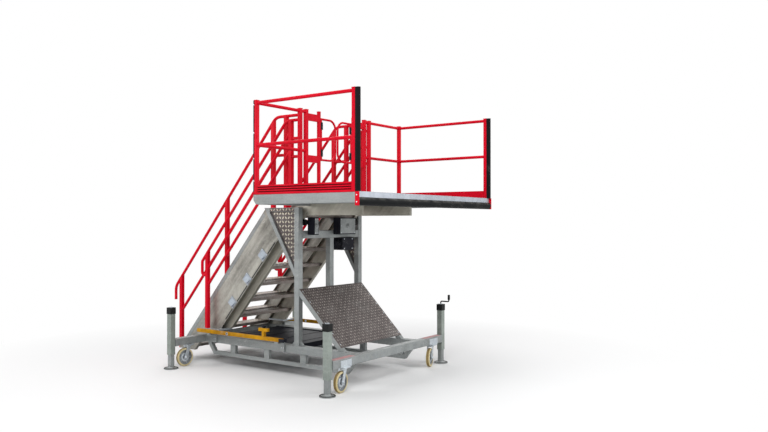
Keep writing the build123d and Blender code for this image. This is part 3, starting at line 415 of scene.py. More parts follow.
def edge_softening():
    """Normal that rounds hard edges, and a mask along them."""
    outputs = {"Normal": "Vector", "Edge": "Float"}
    tree, net, given, result = new_effect("edge_softening", {"Radius": EDGE_EASE}, outputs)
    round_edge = net.node("Bevel", {"samples": 4}, Radius=given["Radius"])
    facing = net.node("VectorMath", {"operation": "DOT_PRODUCT"})
    net.put(facing.inputs[0], round_edge.outputs["Normal"])
    net.put(facing.inputs[1], net.node("NewGeometry").outputs["Normal"])
    net.put(result["Normal"], round_edge.outputs["Normal"])
    net.put(result["Edge"], net.spread(facing.outputs["Value"], 0.98, 0.75))
    return tree


def patchy_tone():
    """Slow drift from one tone to another, with finer mottling in it."""
    tree, net, given, result = new_effect("patchy_tone", {"Scale": 2.0}, {"Tone": "Float"})
    place = net.place()
    slow = net.noise(place, given["Scale"], 2.0)
    fine = net.noise(place, net.times(given["Scale"], 9.0), 4.0)
    both = net.plus(net.times(slow, 0.65), net.times(fine, 0.35))
    net.put(result["Tone"], net.spread(both, 0.36, 0.64))
    return tree


def settled_dust():
    """Mask of dust lying on faces that look up, thicker in patches."""
    tree, net, given, result = new_effect("settled_dust", {"Scale": 6.0, "Amount": 0.3}, {"Dust": "Float"})
    coordinates = net.node("TexCoord").outputs
    height = net.node("SeparateXYZ", None, Vector=coordinates["Normal"]).outputs["Z"]
    lying = net.spread(height, 0.25, 0.95)
    patches = net.spread(net.noise(coordinates["Object"], given["Scale"], 5.0), 0.35, 0.7)
    net.put(result["Dust"], net.times(net.times(lying, patches), given["Amount"], True))
    return tree


def paint_skin():
    """Height of a sprayed coat's fine orange-peel skin."""
    tree, net, given, result = new_effect("paint_skin", {"Scale": 260.0}, {"Height": "Float"})
    net.put(result["Height"], net.noise(net.place(), given["Scale"], 2.0))
    return tree


def drawn_grain():
    """Fine lines left by rolling or extruding, turned about Y to follow the piece."""
    outputs = {"Grain": "Float", "Smear": "Float"}
    tree, net, given, result = new_effect("drawn_grain", {"Turn": 0.0, "Scale": 1.0}, outputs)
    turned = net.turned(net.place(), given["Turn"])
    lines = net.stretched(turned, (3.0, 240.0, 240.0))
    smears = net.stretched(turned, (1.1, 9.0, 9.0))
    net.put(result["Grain"], net.noise(lines, given["Scale"], 3.0))
    net.put(result["Smear"], net.spread(net.noise(smears, given["Scale"], 4.0), 0.34, 0.68))
    return tree


def scratches():
    """Mask of long thin scuff lines, in two directions."""
    tree, net, given, result = new_effect("scratches", {"Scale": 1.0, "Width": 0.012}, {"Scratch": "Float"})
    place = net.place()
    marks = []
    for scale, turn in (((2.0, 16.0, 34.0), 0.5), ((26.0, 14.0, 2.5), -0.9)):
        wave = net.noise(net.stretched(net.turned(place, turn), scale), given["Scale"], 2.0)
        distance = net.math("ABSOLUTE", net.math("SUBTRACT", wave, 0.5))
        marks.append(net.math("LESS_THAN", distance, given["Width"]))
    patches = net.spread(net.noise(place, 5.0, 2.0), 0.52, 0.66)
    net.put(result["Scratch"], net.times(net.math("MAXIMUM", *marks), patches))
    return tree


def zinc_flakes():
    """Cells of a zinc coat, each with its own tone."""
    tree, net, given, result = new_effect("zinc_flakes", {"Scale": 90.0}, {"Flake": "Float"})
    cells = net.node("TexVoronoi", {"feature": "F1"}, Scale=given["Scale"], Vector=net.place())
    tones = net.node("SeparateColor", None, Color=cells.outputs["Color"])
    net.put(result["Flake"], tones.outputs["Red"])
    return tree


EDGES = edge_softening()
TONE = patchy_tone()
DUST = settled_dust()
SKIN = paint_skin()
GRAIN = drawn_grain()
SCRATCH = scratches()
FLAKES = zinc_flakes()


# Finishes


def colour(red, green, blue):
    return (red, green, blue, 1.0)


WHITE = colour(1.0, 1.0, 1.0)
DUST_COLOUR = colour(0.50, 0.48, 0.44)
RUBBED_EDGE = colour(0.85, 0.85, 0.84)
FRESH_SCUFF = colour(0.8, 0.8, 0.8)

# Depth of the finishes' relief, in metres
PEEL_DEPTH = 0.0006
GRAIN_DEPTH = 0.0004
SKIN_DEPTH = 0.0008


def new_finish(name):
    finish = bpy.data.materials.new(name)
    finish.use_nodes = True
    net = Net(finish.node_tree)
    return finish, net, finish.node_tree.nodes["Principled BSDF"].inputs


def worn(net, tone_scale, scuff_scale, scuff_width, dust_scale, dust):
    """Effects that every finish has: softened edges, drifting tone, scuffs and a film of dust."""
    edges = net.effect(EDGES, Radius=EDGE_EASE)
    tone = net.effect(TONE, Scale=tone_scale)["Tone"]
    scuff = net.effect(SCRATCH, Scale=scuff_scale, Width=scuff_width)["Scratch"]
    film = net.effect(DUST, Scale=dust_scale, Amount=dust)["Dust"]
    return edges, tone, scuff, film


def painted(name, paint):
    """Coated steel: drifting colour, orange-peel skin, rubbed edges, scuffs and settled dust."""
    finish, net, shader = new_finish(name)
    edges, tone, scuff, film = worn(
        net, tone_scale=1.7, scuff_scale=1.0, scuff_width=0.008, dust_scale=7.0, dust=paint.dust)
    bare = colour(*paint.bare)
    coat = net.mix(tone, colour(*paint.body), colour(*paint.drift))
    chips = net.spread(net.noise(net.place(), 22.0, 4.0), 0.52, 0.68)
    rubbed = net.times(edges["Edge"], chips, True)
    coat = net.mix(net.times(rubbed, paint.wear), coat, bare)
    coat = net.mix(net.times(scuff, 0.35 * paint.wear), coat, bare)
    net.put(shader["Base Color"], net.mix(film, coat, DUST_COLOUR))
    rough = net.spread(tone, 0.0, 1.0, paint.roughness - 0.05, paint.roughness + 0.07)
    net.put(shader["Roughness"], net.plus(rough, net.times(film, 0.4), True))
    height = net.effect(SKIN, Scale=300.0)["Height"]
    net.bump(shader, paint.peel, PEEL_DEPTH, height, edges["Normal"])
    shader["Specular IOR Level"].default_value = paint.shine
    return finish


def bare_metal(name, metal):
    """Uncoated metal: drawn lines, smears along them, bright rubbed edges and a film of dust."""
    finish, net, shader = new_finish(name)
    edges, tone, scuff, film = worn(
        net, tone_scale=2.6, scuff_scale=1.3, scuff_width=0.006, dust_scale=5.0, dust=metal.dust)
    lines = net.effect(GRAIN, Turn=metal.turn, Scale=1.0)
    cell = net.effect(FLAKES, Scale=85.0)["Flake"]
    share = net.plus(net.times(lines["Smear"], 0.6), net.times(tone, 0.4))
    share = net.plus(share, net.times(net.math("SUBTRACT", cell, 0.5), metal.flakes), True)
    base = net.mix(share, colour(*metal.light), colour(*metal.dark))
    base = net.mix(net.times(edges["Edge"], 0.35), base, RUBBED_EDGE)
    base = net.mix(net.times(scuff, 0.3), base, FRESH_SCUFF)
    net.put(shader["Base Color"], net.mix(film, base, DUST_COLOUR))
    rough = net.spread(lines["Grain"], 0.3, 0.7, metal.roughness - 0.07, metal.roughness + 0.09)
    rough = net.plus(rough, net.times(share, 0.1))
    net.put(shader["Roughness"], net.plus(rough, net.times(film, 0.4), True))
    net.bump(shader, metal.grain, GRAIN_DEPTH, lines["Grain"], edges["Normal"])
    shader["Metallic"].default_value = metal.metallic
    return finish


def moulded(name, moulding):
    """Rubber or plastic: faintly grained skin, scuffed paler at the edges, with dust."""
    finish, net, shader = new_finish(name)
    edges, tone, scuff, film = worn(
        net, tone_scale=3.5, scuff_scale=1.6, scuff_width=0.01, dust_scale=9.0, dust=moulding.dust)
    skin = net.mix(tone, colour(*moulding.body), colour(*moulding.drift))
    pale = net.plus(net.times(edges["Edge"], 0.12), net.times(scuff, 0.1), True)
    skin = net.mix(pale, skin, DUST_COLOUR)
    net.put(shader["Base Color"], net.mix(film, skin, DUST_COLOUR))
    rough = net.spread(tone, 0.0, 1.0, moulding.roughness - 0.06, moulding.roughness + 0.08)
    net.put(shader["Roughness"], rough)
    height = net.effect(SKIN, Scale=moulding.grain_scale)["Height"]
    net.bump(shader, moulding.grain, SKIN_DEPTH, height, edges["Normal"])
    shader["Specular IOR Level"].default_value = moulding.shine
    return finish


STAIR_TURN = radians(49)
NOSING_TURN = radians(90)
BARE_STEEL = (0.42, 0.42, 0.42)

Paint = namedtuple("Paint", "body drift bare roughness peel wear dust shine")
PAINTS = {
    "red_paint": Paint((0.70, 0.002, 0.019), (0.58, 0.001, 0.014), (0.75, 0.10, 0.10),
                       roughness=0.38, peel=0.10, wear=0.35, dust=0.02, shine=0.08),
    "dark_steel": Paint((0.009, 0.010, 0.016), (0.016, 0.017, 0.024), BARE_STEEL,
                        roughness=0.55, peel=0.10, wear=0.4, dust=0.02, shine=0.10),
    "yellow_paint": Paint((0.69, 0.34, 0.004), (0.34, 0.155, 0.004), BARE_STEEL,
                          roughness=0.42, peel=0.12, wear=0.8, dust=0.06, shine=0.12),
    # Dark red for strips in the kick boards' grooves: painted shadow.
    "groove_painted_shade": Paint((0.090, 0.001, 0.004), (0.060, 0.001, 0.003), (0.12, 0.01, 0.01),
                         roughness=0.60, peel=0.05, wear=0.2, dust=0.02, shine=0.04),
    "faded_tape": Paint((0.60, 0.25, 0.26), (0.52, 0.34, 0.34), BARE_STEEL,
                        roughness=0.60, peel=0.05, wear=0.6, dust=0.10, shine=0.15),
}
Metal = namedtuple("Metal", "light dark roughness grain metallic turn flakes dust", defaults=(0.0, 0.0, 0.12))
METALS = {
    "grey_steel": Metal((0.325, 0.345, 0.345), (0.215, 0.23, 0.228),
                        roughness=0.45, grain=0.05, metallic=0.40, flakes=0.25),
    "jack_metal": Metal((0.315, 0.355, 0.325), (0.205, 0.235, 0.212),
                        roughness=0.45, grain=0.05, metallic=0.40, flakes=0.25),
    "mill_aluminium": Metal((0.46, 0.447, 0.400), (0.090, 0.085, 0.073),
                            roughness=0.40, grain=0.10, metallic=0.50, turn=STAIR_TURN),
    # Lighter copy of the stair aluminium for the sliding stringers: painted light against the shade they sit in.
    "slide_metal_painted_light": Metal((0.51, 0.49, 0.42), (0.24, 0.225, 0.185),
                         roughness=0.40, grain=0.10, metallic=0.40, turn=STAIR_TURN),
    "nosing_metal": Metal((0.44, 0.475, 0.53), (0.29, 0.315, 0.355),
                          roughness=0.36, grain=0.08, metallic=0.60, turn=NOSING_TURN),
    "tread_plate": Metal((0.30, 0.262, 0.240), (0.165, 0.138, 0.122),
                         roughness=0.42, grain=0.06, metallic=0.50),
    "deck_plate": Metal((0.40, 0.395, 0.38), (0.26, 0.255, 0.24),
                        roughness=0.40, grain=0.06, metallic=0.60),
    # Darker copy of the tread plate for the sloping panel and the gussets: painted shade and painted dark
    # reflection.
    "plate_painted_shade": Metal((0.135, 0.112, 0.108), (0.070, 0.057, 0.054),
                        roughness=0.42, grain=0.06, metallic=0.50),
    # Crowns for the sloping panel's bars: brighter than the darkened plate as painted glints, darker than the
    # other crowns as painted shade.
    "crown_painted_glint_in_shade": Metal((0.40, 0.355, 0.325), (0.21, 0.18, 0.165),
                        roughness=0.30, grain=0.04, metallic=0.65, dust=0.02),
    # Crowns of the raised bars, far brighter than the plates they stand on: painted glints.
    "crown_painted_glint": Metal((0.62, 0.57, 0.46), (0.38, 0.345, 0.27),
                       roughness=0.30, grain=0.04, metallic=0.70, dust=0.02),
    "zinc": Metal((0.66, 0.71, 0.75), (0.44, 0.48, 0.52),
                  roughness=0.30, grain=0.05, metallic=0.75, flakes=0.3, dust=0.03),
    # Darker copy of zinc for the wheels' webs: painted shade.
    "hub_painted_shade": Metal((0.34, 0.36, 0.38), (0.17, 0.18, 0.19),
                       roughness=0.34, grain=0.05, metallic=0.70, flakes=0.3, dust=0.03),
    # Darker copy of zinc for the stringers' square plates and louvres, beside bright zinc mouths: painted shade.
    "louvre_painted_shade": Metal((0.36, 0.40, 0.45), (0.22, 0.25, 0.29),
                          roughness=0.32, grain=0.05, metallic=0.60, turn=STAIR_TURN, flakes=0.2, dust=0.03),
}
Moulding = namedtuple("Moulding", "body drift roughness grain_scale grain dust shine")
MOULDINGS = {
    "black_rubber": Moulding((0.006, 0.0065, 0.007), (0.010, 0.011, 0.012),
                             roughness=0.58, grain_scale=420.0, grain=0.15, dust=0.01, shine=0.06),
    "fender_rubber": Moulding((0.006, 0.0065, 0.007), (0.010, 0.011, 0.012),
                              roughness=0.46, grain_scale=420.0, grain=0.08, dust=0.24, shine=0.04),
    "black_plastic": Moulding((0.008, 0.009, 0.009), (0.015, 0.016, 0.016),
                              roughness=0.45, grain_scale=520.0, grain=0.12, dust=0.03, shine=0.12),
    "cream_tyre": Moulding((0.73, 0.63, 0.38), (0.56, 0.45, 0.22),
                           roughness=0.50, grain_scale=300.0, grain=0.12, dust=0.10, shine=0.20),
    "darker_tread_band": Moulding((0.36, 0.26, 0.11), (0.20, 0.14, 0.05),
                           roughness=0.60, grain_scale=260.0, grain=0.25, dust=0.05, shine=0.12),
}
FINISHES = {
    **{name: painted(name, paint) for name, paint in PAINTS.items()},
    **{name: bare_metal(name, metal) for name, metal in METALS.items()},
    **{name: moulded(name, moulding) for name, moulding in MOULDINGS.items()},
}
NODE_SLOTS = {row["node"]: row["material_slot"] for row in frame["record"]["subparts"]}
# Finishes for single CAD pieces; some are lit or shaded copies of others: painted light on the sliding stringers,
# painted shade on the sloping panel, gussets, stringers' square plates and wheel webs.
NODE_FINISHES = {
    "slope_panel": "plate_painted_shade",
    "gusset_plates": "plate_painted_shade",
    "deck_floor": "deck_plate",
    "deck_nosing": "nosing_metal",
    "slide_stringers": "slide_metal_painted_light",
    "jack_housings": "jack_metal",
    "stringer_covers": "louvre_painted_shade",
    "deck_fender": "fender_rubber",
    **{"castor_hub_" + corner: "hub_painted_shade" for corner in CORNERS},
}


def dress_nodes():
    """Gives every CAD piece its own finish, or else the finish of its slot."""
    for name, piece in frame["nodes"].items():
        piece.data.materials.clear()
        piece.data.materials.append(FINISHES[NODE_FINISHES.get(name, NODE_SLOTS[name])])


# Deck and guard


def deck_plate():
    """Raised bars on the deck floor, kept off the posts and the rear kick boards."""
    low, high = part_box("deck_floor")
    posts = solids("guard_posts") + solids("gate_frame")
    clear = 0.02
    board_strip = 0.04
    boards_from = 0.55

    def keep(u, v):
        x, y = low.x + u, low.y + v
        if u < board_strip and abs(y) > boards_from:
            return False
        return not any(a.x - clear < x < b.x + clear and a.y - clear < y < b.y + clear for a, b in posts)

    plate = Stock()
    plate.tread_bars(Vector((low.x, low.y, high.z)), AHEAD, LEFT, high.x - low.x, high.y - low.y, keep=keep)
    # Bars in a brightened crown finish: painted glints.
    plate.done("deck_floor_bars", "platform", "tread_plate", "crown_painted_glint")


def kick_board_groove_shadows():
    """Dark strips on the floors of the grooves along the kick boards' outer faces: painted shadow in the grooves.
    """
    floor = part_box("deck_floor")[1].z
    rows = 3
    width = 0.012
    depth = 0.010
    film = 0.0015
    half = 0.49 * width * UP
    groove_shadows = Stock()
    for low, high in solids("kick_boards"):
        if high.x - low.x > high.y - low.y:
            y, way = outer(low, high)
            near, far = sorted((y - way * (depth + SINK), y - way * (depth - film)))
            start = Vector((low.x + width, near, floor))
            end = Vector((high.x - width, far, floor))
        else:
            x = low.x + depth
            start = Vector((x - film, low.y + width, floor))
            end = Vector((x + SINK, high.y - width, floor))
        for row in range(rows):
            level = (row + 1) * (high.z - floor) / (rows + 1) * UP
            groove_shadows.block(start + level - half, end + level + half, 0.0004)
    groove_shadows.done("kick_board_groove_shadows", "platform", "red_paint", "groove_painted_shade")


def deck_nosing_ribs():
    """Grip ribs along the top of the nosing."""
    low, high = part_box("deck_nosing")
    ribs = Stock()
    for share in (0.2, 0.5, 0.8):
        ribs.rib(low.x + share * (high.x - low.x), low, high, margin=0.01, width=0.005)
    ribs.done("deck_nosing_ribs", "platform", "mill_aluminium", "nosing_metal")


def hinge_posts():
    """Boxes of the gate frame's two posts, without the arms that hold them off the guard's posts."""
    boxes = []
    for low, high in solids("gate_frame"):
        y, way = inner(low, high)
        near, far = sorted((y, y + way * HINGE_POST))
        boxes.append((Vector((low.x, near, low.z)), Vector((high.x, far, high.z))))
    return boxes


def guard_caps():
    """Caps on the guard's posts and the gate's posts."""
    caps = Stock()
    lip = 0.001
    skirt = 0.004
    rise = 0.003
    for low, high in solids("guard_posts") + hinge_posts():
        caps.block((low.x - lip, low.y - lip, high.z - skirt),
                   (high.x + lip, high.y + lip, high.z + rise))
    caps.done("guard_post_caps", "platform", "red_paint")


def guard_strips():
    """Bolted edge strips on the rear corner posts."""
    strips = Stock()
    bolts = Stock()
    thick = 0.003
    overhang = 0.002
    lap = 0.013
    foot_gap = 0.03
    top_gap = 0.006
    bolt_x = 0.007
    bolt_levels = (0.16, 0.42, 0.72, 1.05)
    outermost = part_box("guard_posts")[1]
    outer_row = outermost.y - 0.01
    front_row = outermost.x - 0.1
    for low, high in solids("guard_posts"):
        y, way = outer(low, high)
        if abs(y) < outer_row or high.x > front_row:
            continue
        near, far = sorted((y - way * SINK, y + way * thick))
        strips.block((low.x - overhang, near, low.z + foot_gap), (low.x + lap, far, high.z - top_gap), 0.001)
        for level in bolt_levels:
            bolts.bolt((low.x + bolt_x, y + way * thick, low.z + level), way * LEFT, 0.010)
    strips.done("guard_post_strips", "platform", "dark_steel")
    bolts.done("guard_post_bolts", "platform", "zinc")


def guard_welds():
    """Weld beads at the rails' ends and round the posts' feet."""
    beads = Stock()
    for low, high in solids("guard_rails"):
        size = high - low
        axis = AHEAD if size.x > size.y else LEFT
        reach = 0.5 * max(size.x, size.y)
        for way in SIDES:
            end = middle(low, high) + way * reach * axis
            beads.tube(circle(end, axis.cross(UP), UP, RAIL_RADIUS, 20), FINE_WELD, True)
    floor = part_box("deck_floor")[1].z
    for low, high in solids("guard_posts") + hinge_posts():
        foot = middle(low, high)
        foot.z = floor
        beads.weld(rectangle(foot, AHEAD, LEFT, high.x - low.x, high.y - low.y), FINE_WELD)
    beads.done("guard_welds", "platform", "red_paint")


def fender_fittings():
    """Bolts through the fender brackets and screws down the post fenders' flanks."""
    bolts = Stock()
    length_share = 0.4
    for low, high in solids("fender_brackets"):
        y, way = outer(low, high)
        x = low.x + length_share * (high.x - low.x)
        for share in (0.25, 0.75):
            bolts.bolt((x, y, low.z + share * (high.z - low.z)), way * LEFT)
    bolts.done("fender_bracket_bolts", "platform", "zinc")
    screws = Stock()
    screw_x = 0.011
    first_share = 0.08
    share_step = 0.21
    for low, high in solids("post_fenders"):
        for step in range(5):
            z = low.z + (first_share + share_step * step) * (high.z - low.z)
            for y, way in ((low.y, -1), (high.y, 1)):
                screws.rivet((low.x + screw_x, y, z), way * LEFT, 0.005, 0.0015)
    screws.done("post_fender_screws", "platform", "dark_steel")


# Gate


def gate_springs():
    """Coil springs and end caps on the hinge barrels."""
    springs = Stock()
    caps = Stock()
    turns = 6
    steps = 14
    wire = 0.0028
    coil_foot = 0.14
    coil_share = 0.72
    bore = 0.0155
    rim = 0.002
    cap_height = 0.009
    for low, high in solids("gate_hinges"):
        face, way = inner(low, high)
        radius = 0.5 * (high.x - low.x)
        x = middle(low, high).x
        y = face + way * radius
        coil = []
        for step in range(turns * steps + 1):
            angle = tau * step / steps
            share = coil_foot + coil_share * step / (turns * steps)
            coil.append((x + radius * cos(angle), y + radius * sin(angle), low.z + share * (high.z - low.z)))
        springs.tube(coil, wire)
        ring = [(bore, -SINK), (radius + rim, -SINK), (radius + rim, cap_height), (bore, cap_height)]
        for z, facing in ((low.z, UP), (high.z, -UP)):
            caps.lathe(ring, (x, y, z), facing, 24, True)
    springs.done("gate_hinge_springs", "platform", "dark_steel")
    caps.done("gate_hinge_caps", "platform", "black_plastic")


# Stair


def step_plates(node, body):
    """Raised bars and nosing ribs on a flight's treads; the deep landing has bars from its edge."""
    bars = Stock()
    ribs = Stock()
    margin = 0.015
    rear_margin = 0.01
    nosing = 0.035
    first_rib = 0.006
    rib_pitch = 0.010
    landing_depth = 0.4
    for low, high in solids(node):
        start = low.x if high.x - low.x > landing_depth else low.x + nosing
        length = high.x - start - rear_margin
        width = high.y - low.y - 2 * margin
        bars.tread_bars(Vector((start, low.y + margin, high.z)), AHEAD, LEFT, length, width)
        for rank in range(3):
            ribs.rib(low.x + first_rib + rib_pitch * rank, low, high, margin=0.012, width=0.006)
    # Bars in a brightened crown finish: painted glints.
    bars.done(node + "_bars", body, "tread_plate", "crown_painted_glint")
    ribs.done(node + "_nosing", body, "mill_aluminium")


def stair_rivets():
    """Button heads through the fixed stringers at the ends of all treads but the top one."""
    rivets = Stock()
    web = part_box("fixed_stringers")
    for low, high in solids("fixed_treads")[:-1]:
        for corner, way in zip(web, SIDES):
            for share in (0.3, 0.7):
                place = (low.x + share * (high.x - low.x), corner.y, middle(low, high).z)
                rivets.rivet(place, way * LEFT, 0.008, 0.0035)
    rivets.done("fixed_stringer_rivets", "base", "mill_aluminium")


def cover_fittings():
    """Louvres, and rivets, on the stringers' square plates: the louvres in darkened zinc as painted shade, with
    strips of bright zinc on their mouths as painted highlight.
    """
    louvres = Stock()
    mouth_highlights = Stock()
    rivets = Stock()
    square = SLOPE.cross(LEFT)
    inset = 0.050
    length = 0.085
    width = 0.080
    gape = 0.020
    lip = 0.003
    lip_width = 0.019
    for low, high in solids("stringer_covers"):
        y, way = outer(low, high)
        normal = way * LEFT
        face = middle(low, high)
        face.y = y
        for a, b in ROUND:
            rivets.rivet(face + inset * (a * SLOPE + b * square), normal, 0.006, 0.002)
        foot = rectangle(face - SINK * normal, SLOPE, square, length, width)
        mouth = gape * normal
        louvres.add(foot + [foot[0] + mouth, foot[3] + mouth],
                    [(0, 1, 2, 3), (0, 4, 1), (3, 2, 5), (1, 4, 5, 2), (0, 3, 5, 4)])
        mouth_highlights.slab((foot[0] + foot[3] + mouth) / 2, square, normal, -SLOPE, width, lip_width, lip)
    louvres.done("stringer_louvres", "base", "zinc", "louvre_painted_shade")
    mouth_highlights.done("stringer_louvre_mouth_highlights", "base", "zinc")
    rivets.done("stringer_cover_rivets", "base", "zinc")


def stringer_trim():
    """Dark strips before, between and past the stringers' square plates, painted shadow standing for the gaps
    there, and a lip along the upper edge.
    """
    strips = Stock()
    lips = Stock()
    square = SLOPE.cross(LEFT)
    web_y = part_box("fixed_stringers")[1].y
    strip_drop = 0.056
    strip_width = 0.016
    strip_lengths = {0: 0.29, 1: 0.20, -1: 0.20}
    end_shift = 0.045
    lip_back = 0.31
    lip_rise = 0.330
    lip_length = 2.34
    lip_width = 0.052
    for way in SIDES:
        places = [middle(*ends) for ends in solids("stringer_covers") if outer(*ends)[1] == way]
        for place in places:
            place.y = way * web_y
        last = len(places) - 1
        step = (places[last] - places[0]) / last
        for rank in range(-1, len(places)):
            end = (rank < 0) - (rank == last)
            centre = places[0] + (rank + 0.5) * step + end * end_shift * SLOPE - strip_drop * square
            strips.slab(centre, SLOPE, square, way * LEFT, strip_lengths[end], strip_width, 0.002)
        centre = middle(places[0], places[last]) - lip_back * SLOPE + lip_rise * square
        lips.slab(centre, SLOPE, square, way * LEFT, lip_length, lip_width, 0.003)
    strips.done("stringer_shadow_strips", "base", "black_plastic")
    lips.done("stringer_lips", "base", "grey_steel")


# Base and tower


def slope_plate():
    """Tread-plate sheet lapped over the sloping panel and both braces, with screws down both sides."""
    low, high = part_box("slope_panel")
    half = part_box("tower_braces")[1].y
    top = Vector((low.x, -half, high.z))
    foot = Vector((high.x, -half, low.z))
    along = (foot - top).normalized()
    normal = along.cross(LEFT)
    length = (foot - top).length
    width = 2 * half
    thick = 0.003
    margin = 0.012
    screw_side = 0.03
    screw_end = 0.05
    screw_gaps = 5
    sheet = Stock()
    sheet.slab((top + foot) / 2 + half * LEFT, along, LEFT, normal, length, width, thick)
    # Sheet in a darkened plate finish: painted shade.
    sheet.done("slope_plate_sheet", "base", "tread_plate", "plate_painted_shade")
    face = top + thick * normal
    bars = Stock()
    corner = face + margin * (along + LEFT)
    bars.tread_bars(corner, along, LEFT, length - 2 * margin, width - 2 * margin, PANEL_BAR)
    # Bars in a crown finish brighter than the sheet as painted glints, and darker than the other crowns as painted
    # shade.
    bars.done("slope_panel_bars", "base", "tread_plate", "crown_painted_glint_in_shade")
    screws = Stock()
    pitch = (length - 2 * screw_end) / screw_gaps
    for across in (screw_side, width - screw_side):
        for step in range(screw_gaps + 1):
            place = face + (screw_end + step * pitch) * along + across * LEFT
            screws.rivet(place, normal, 0.008, 0.004)
    screws.done("slope_panel_screws", "base", "zinc")


def gusset_bars():
    """Raised bars on both faces of the triangular gusset plates, and on skins along the tubes above them."""
    bars = Stock()
    skins = Stock()
    tube = 0.050
    thick = 0.002
    end_gap = 0.02
    side_gap = 0.004
    rim = 0.015
    slant_share = 0.93
    for low, high in solids("gusset_plates"):
        width = high.x - low.x
        height = high.z - low.z

        def keep(back, down):
            return back / width + down / height < slant_share and back > rim

        right = Vector((high.x, low.y, high.z))
        bars.tread_bars(right, -UP, -AHEAD, height, width, BOLD_BAR, lambda down, back: keep(back, down))
        bars.tread_bars(high, -AHEAD, -UP, width, height, BOLD_BAR, keep)
        length = width - end_gap
        for way in SIDES:
            face = middle(low, high) + way * 0.5 * tube * LEFT
            face.z = high.z + 0.5 * tube
            skins.slab(face, AHEAD, UP, way * LEFT, length, tube - side_gap, thick)
            corner = face + thick * way * LEFT - 0.5 * length * AHEAD - 0.5 * tube * UP
            if way < 0:
                bars.tread_bars(corner, AHEAD, UP, length, tube, BOLD_BAR)
            else:
                bars.tread_bars(corner, UP, AHEAD, tube, length, BOLD_BAR)
    # Skins in a darkened plate finish: painted shade.
    skins.done("gusset_top_skins", "base", "tread_plate", "plate_painted_shade")
    # Bars in a brightened crown finish: painted glints.
    bars.done("gusset_plate_bars", "base", "tread_plate", "crown_painted_glint")


def frame_welds():
    """Weld beads round the tower posts' feet and both ends of the beams, rails and spacers."""
    beads = Stock()
    for low, high in solids("tower_posts"):
        section = high.y - low.y
        foot = middle(low, high)
        foot.z = low.z
        beads.weld(rectangle(foot, AHEAD, LEFT, section, section))
    for node, axis in (("tower_beams", 1), ("base_rails", 0), ("chord_spacers", 2)):
        one, two = [other for other in range(3) if other != axis]
        for low, high in solids(node):
            size = high - low
            for corner in (low, high):
                end = middle(low, high)
                end[axis] = corner[axis]
                beads.weld(rectangle(end, AXES[one], AXES[two], size[one], size[two]))
    beads.done("frame_welds", "base", "grey_steel")


def base_bolts():
    """Broad plates behind the castors' flanges, with bolts there and in the bar carriers."""
    bolts = Stock()
    plates = Stock()
    flange = 0.006
    backing = 0.005
    width = 0.200
    height = 0.084
    drop = 0.040
    flange_bolt = 0.035
    outer_bolt = 0.085
    bolt_rise = 0.022
    carrier_wall = 0.02
    carrier_rise = 0.05
    carrier_half = 0.016
    faces = {1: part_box("cross_beam_front")[1].x, -1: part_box("cross_beam_rear")[0].x}
    for low, high in solids("castor_plates"):
        centre = middle(low, high)
        way = 1 if centre.x > 0 else -1
        face = Vector((faces[way], centre.y, high.z - drop))
        plates.slab(face, LEFT, UP, way * AHEAD, width, height, backing)
        for across, reach in ((flange_bolt, flange), (outer_bolt, backing)):
            for side, rise in ROUND:
                place = face + way * reach * AHEAD + side * across * LEFT + rise * bolt_rise * UP
                bolts.bolt(place, way * AHEAD)
    for low, high in solids("bar_carriers"):
        y, way = inner(low, high)
        for side in SIDES:
            x = middle(low, high).x + side * carrier_half
            bolts.bolt((x, y + way * carrier_wall, low.z + carrier_rise), way * LEFT)
    plates.done("castor_backing_plates", "base", "zinc")
    bolts.done("base_bolts", "base", "zinc")


def beam_tapes():
    """Faded red tape on the front cross beam's top, towards each end."""
    low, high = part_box("cross_beam_front")
    tapes = Stock()
    edge = 0.008
    thick = 0.0008
    outer_end = high.y - 0.03
    inner_end = high.y - 0.42
    for way in SIDES:
        near, far = sorted((way * outer_end, way * inner_end))
        tapes.block((low.x + edge, near, high.z - SINK), (high.x - edge, far, high.z + thick), 0.0004)
    tapes.done("front_beam_tapes", "base", "red_paint", "faded_tape")


def motor_fittings(motor, bolts):
    """Cooling fins, end bell and bolts on the winch motor."""
    low, high = motor
    centre = middle(low, high)
    radius = 0.06
    rim = radius + 0.008
    half = 0.002
    first_fin = 0.018
    fin_pitch = 0.0125
    bolt = 0.009
    margin = 0.02
    mount_bolts = (high.y - 0.21, high.y - 0.04)
    fin = [(radius - SINK, -half), (rim, -half), (rim, half), (radius - SINK, half)]
    bell = [(0.012, -0.006), (0.045, -0.006), (0.058, 0.004), (0.058, 0.014), (0.012, 0.014)]
    fins = Stock()
    for step in range(7):
        fins.lathe(fin, (centre.x, low.y + first_fin + fin_pitch * step, centre.z), LEFT, 28, True)
    fins.lathe(bell, (centre.x, low.y, centre.z), LEFT, 28)
    fins.done("winch_fins", "base", "dark_steel")
    for z in (low.z + margin, high.z - margin):
        for x in (low.x + margin, high.x - margin):
            bolts.bolt((x, high.y, z), LEFT, bolt)
        for y in mount_bolts:
            bolts.bolt((high.x, y, z), AHEAD, bolt)


def gear_covers(gears, bolts):
    """Bolted covers with shaft bosses on the winch's gear cases."""
    covers = Stock()
    rim = 0.012
    thick = 0.005
    boss = [(0.004, -SINK), (0.032, -SINK), (0.032, 0.008), (0.026, 0.012),
            (0.014, 0.012), (0.014, 0.020), (0.004, 0.020)]
    for low, high in gears:
        centre = middle(low, high)
        face = high.x + thick
        covers.block((high.x - SINK, low.y + rim, low.z + rim), (face, high.y - rim, high.z - rim))
        covers.lathe(boss, (face, centre.y, centre.z), AHEAD, 28)
        for y in (low.y + 2 * rim, high.y - 2 * rim):
            for z in (low.z + 2 * rim, centre.z, high.z - 2 * rim):
                bolts.bolt((face, y, z), AHEAD)
    covers.done("winch_gear_covers", "base", "grey_steel")


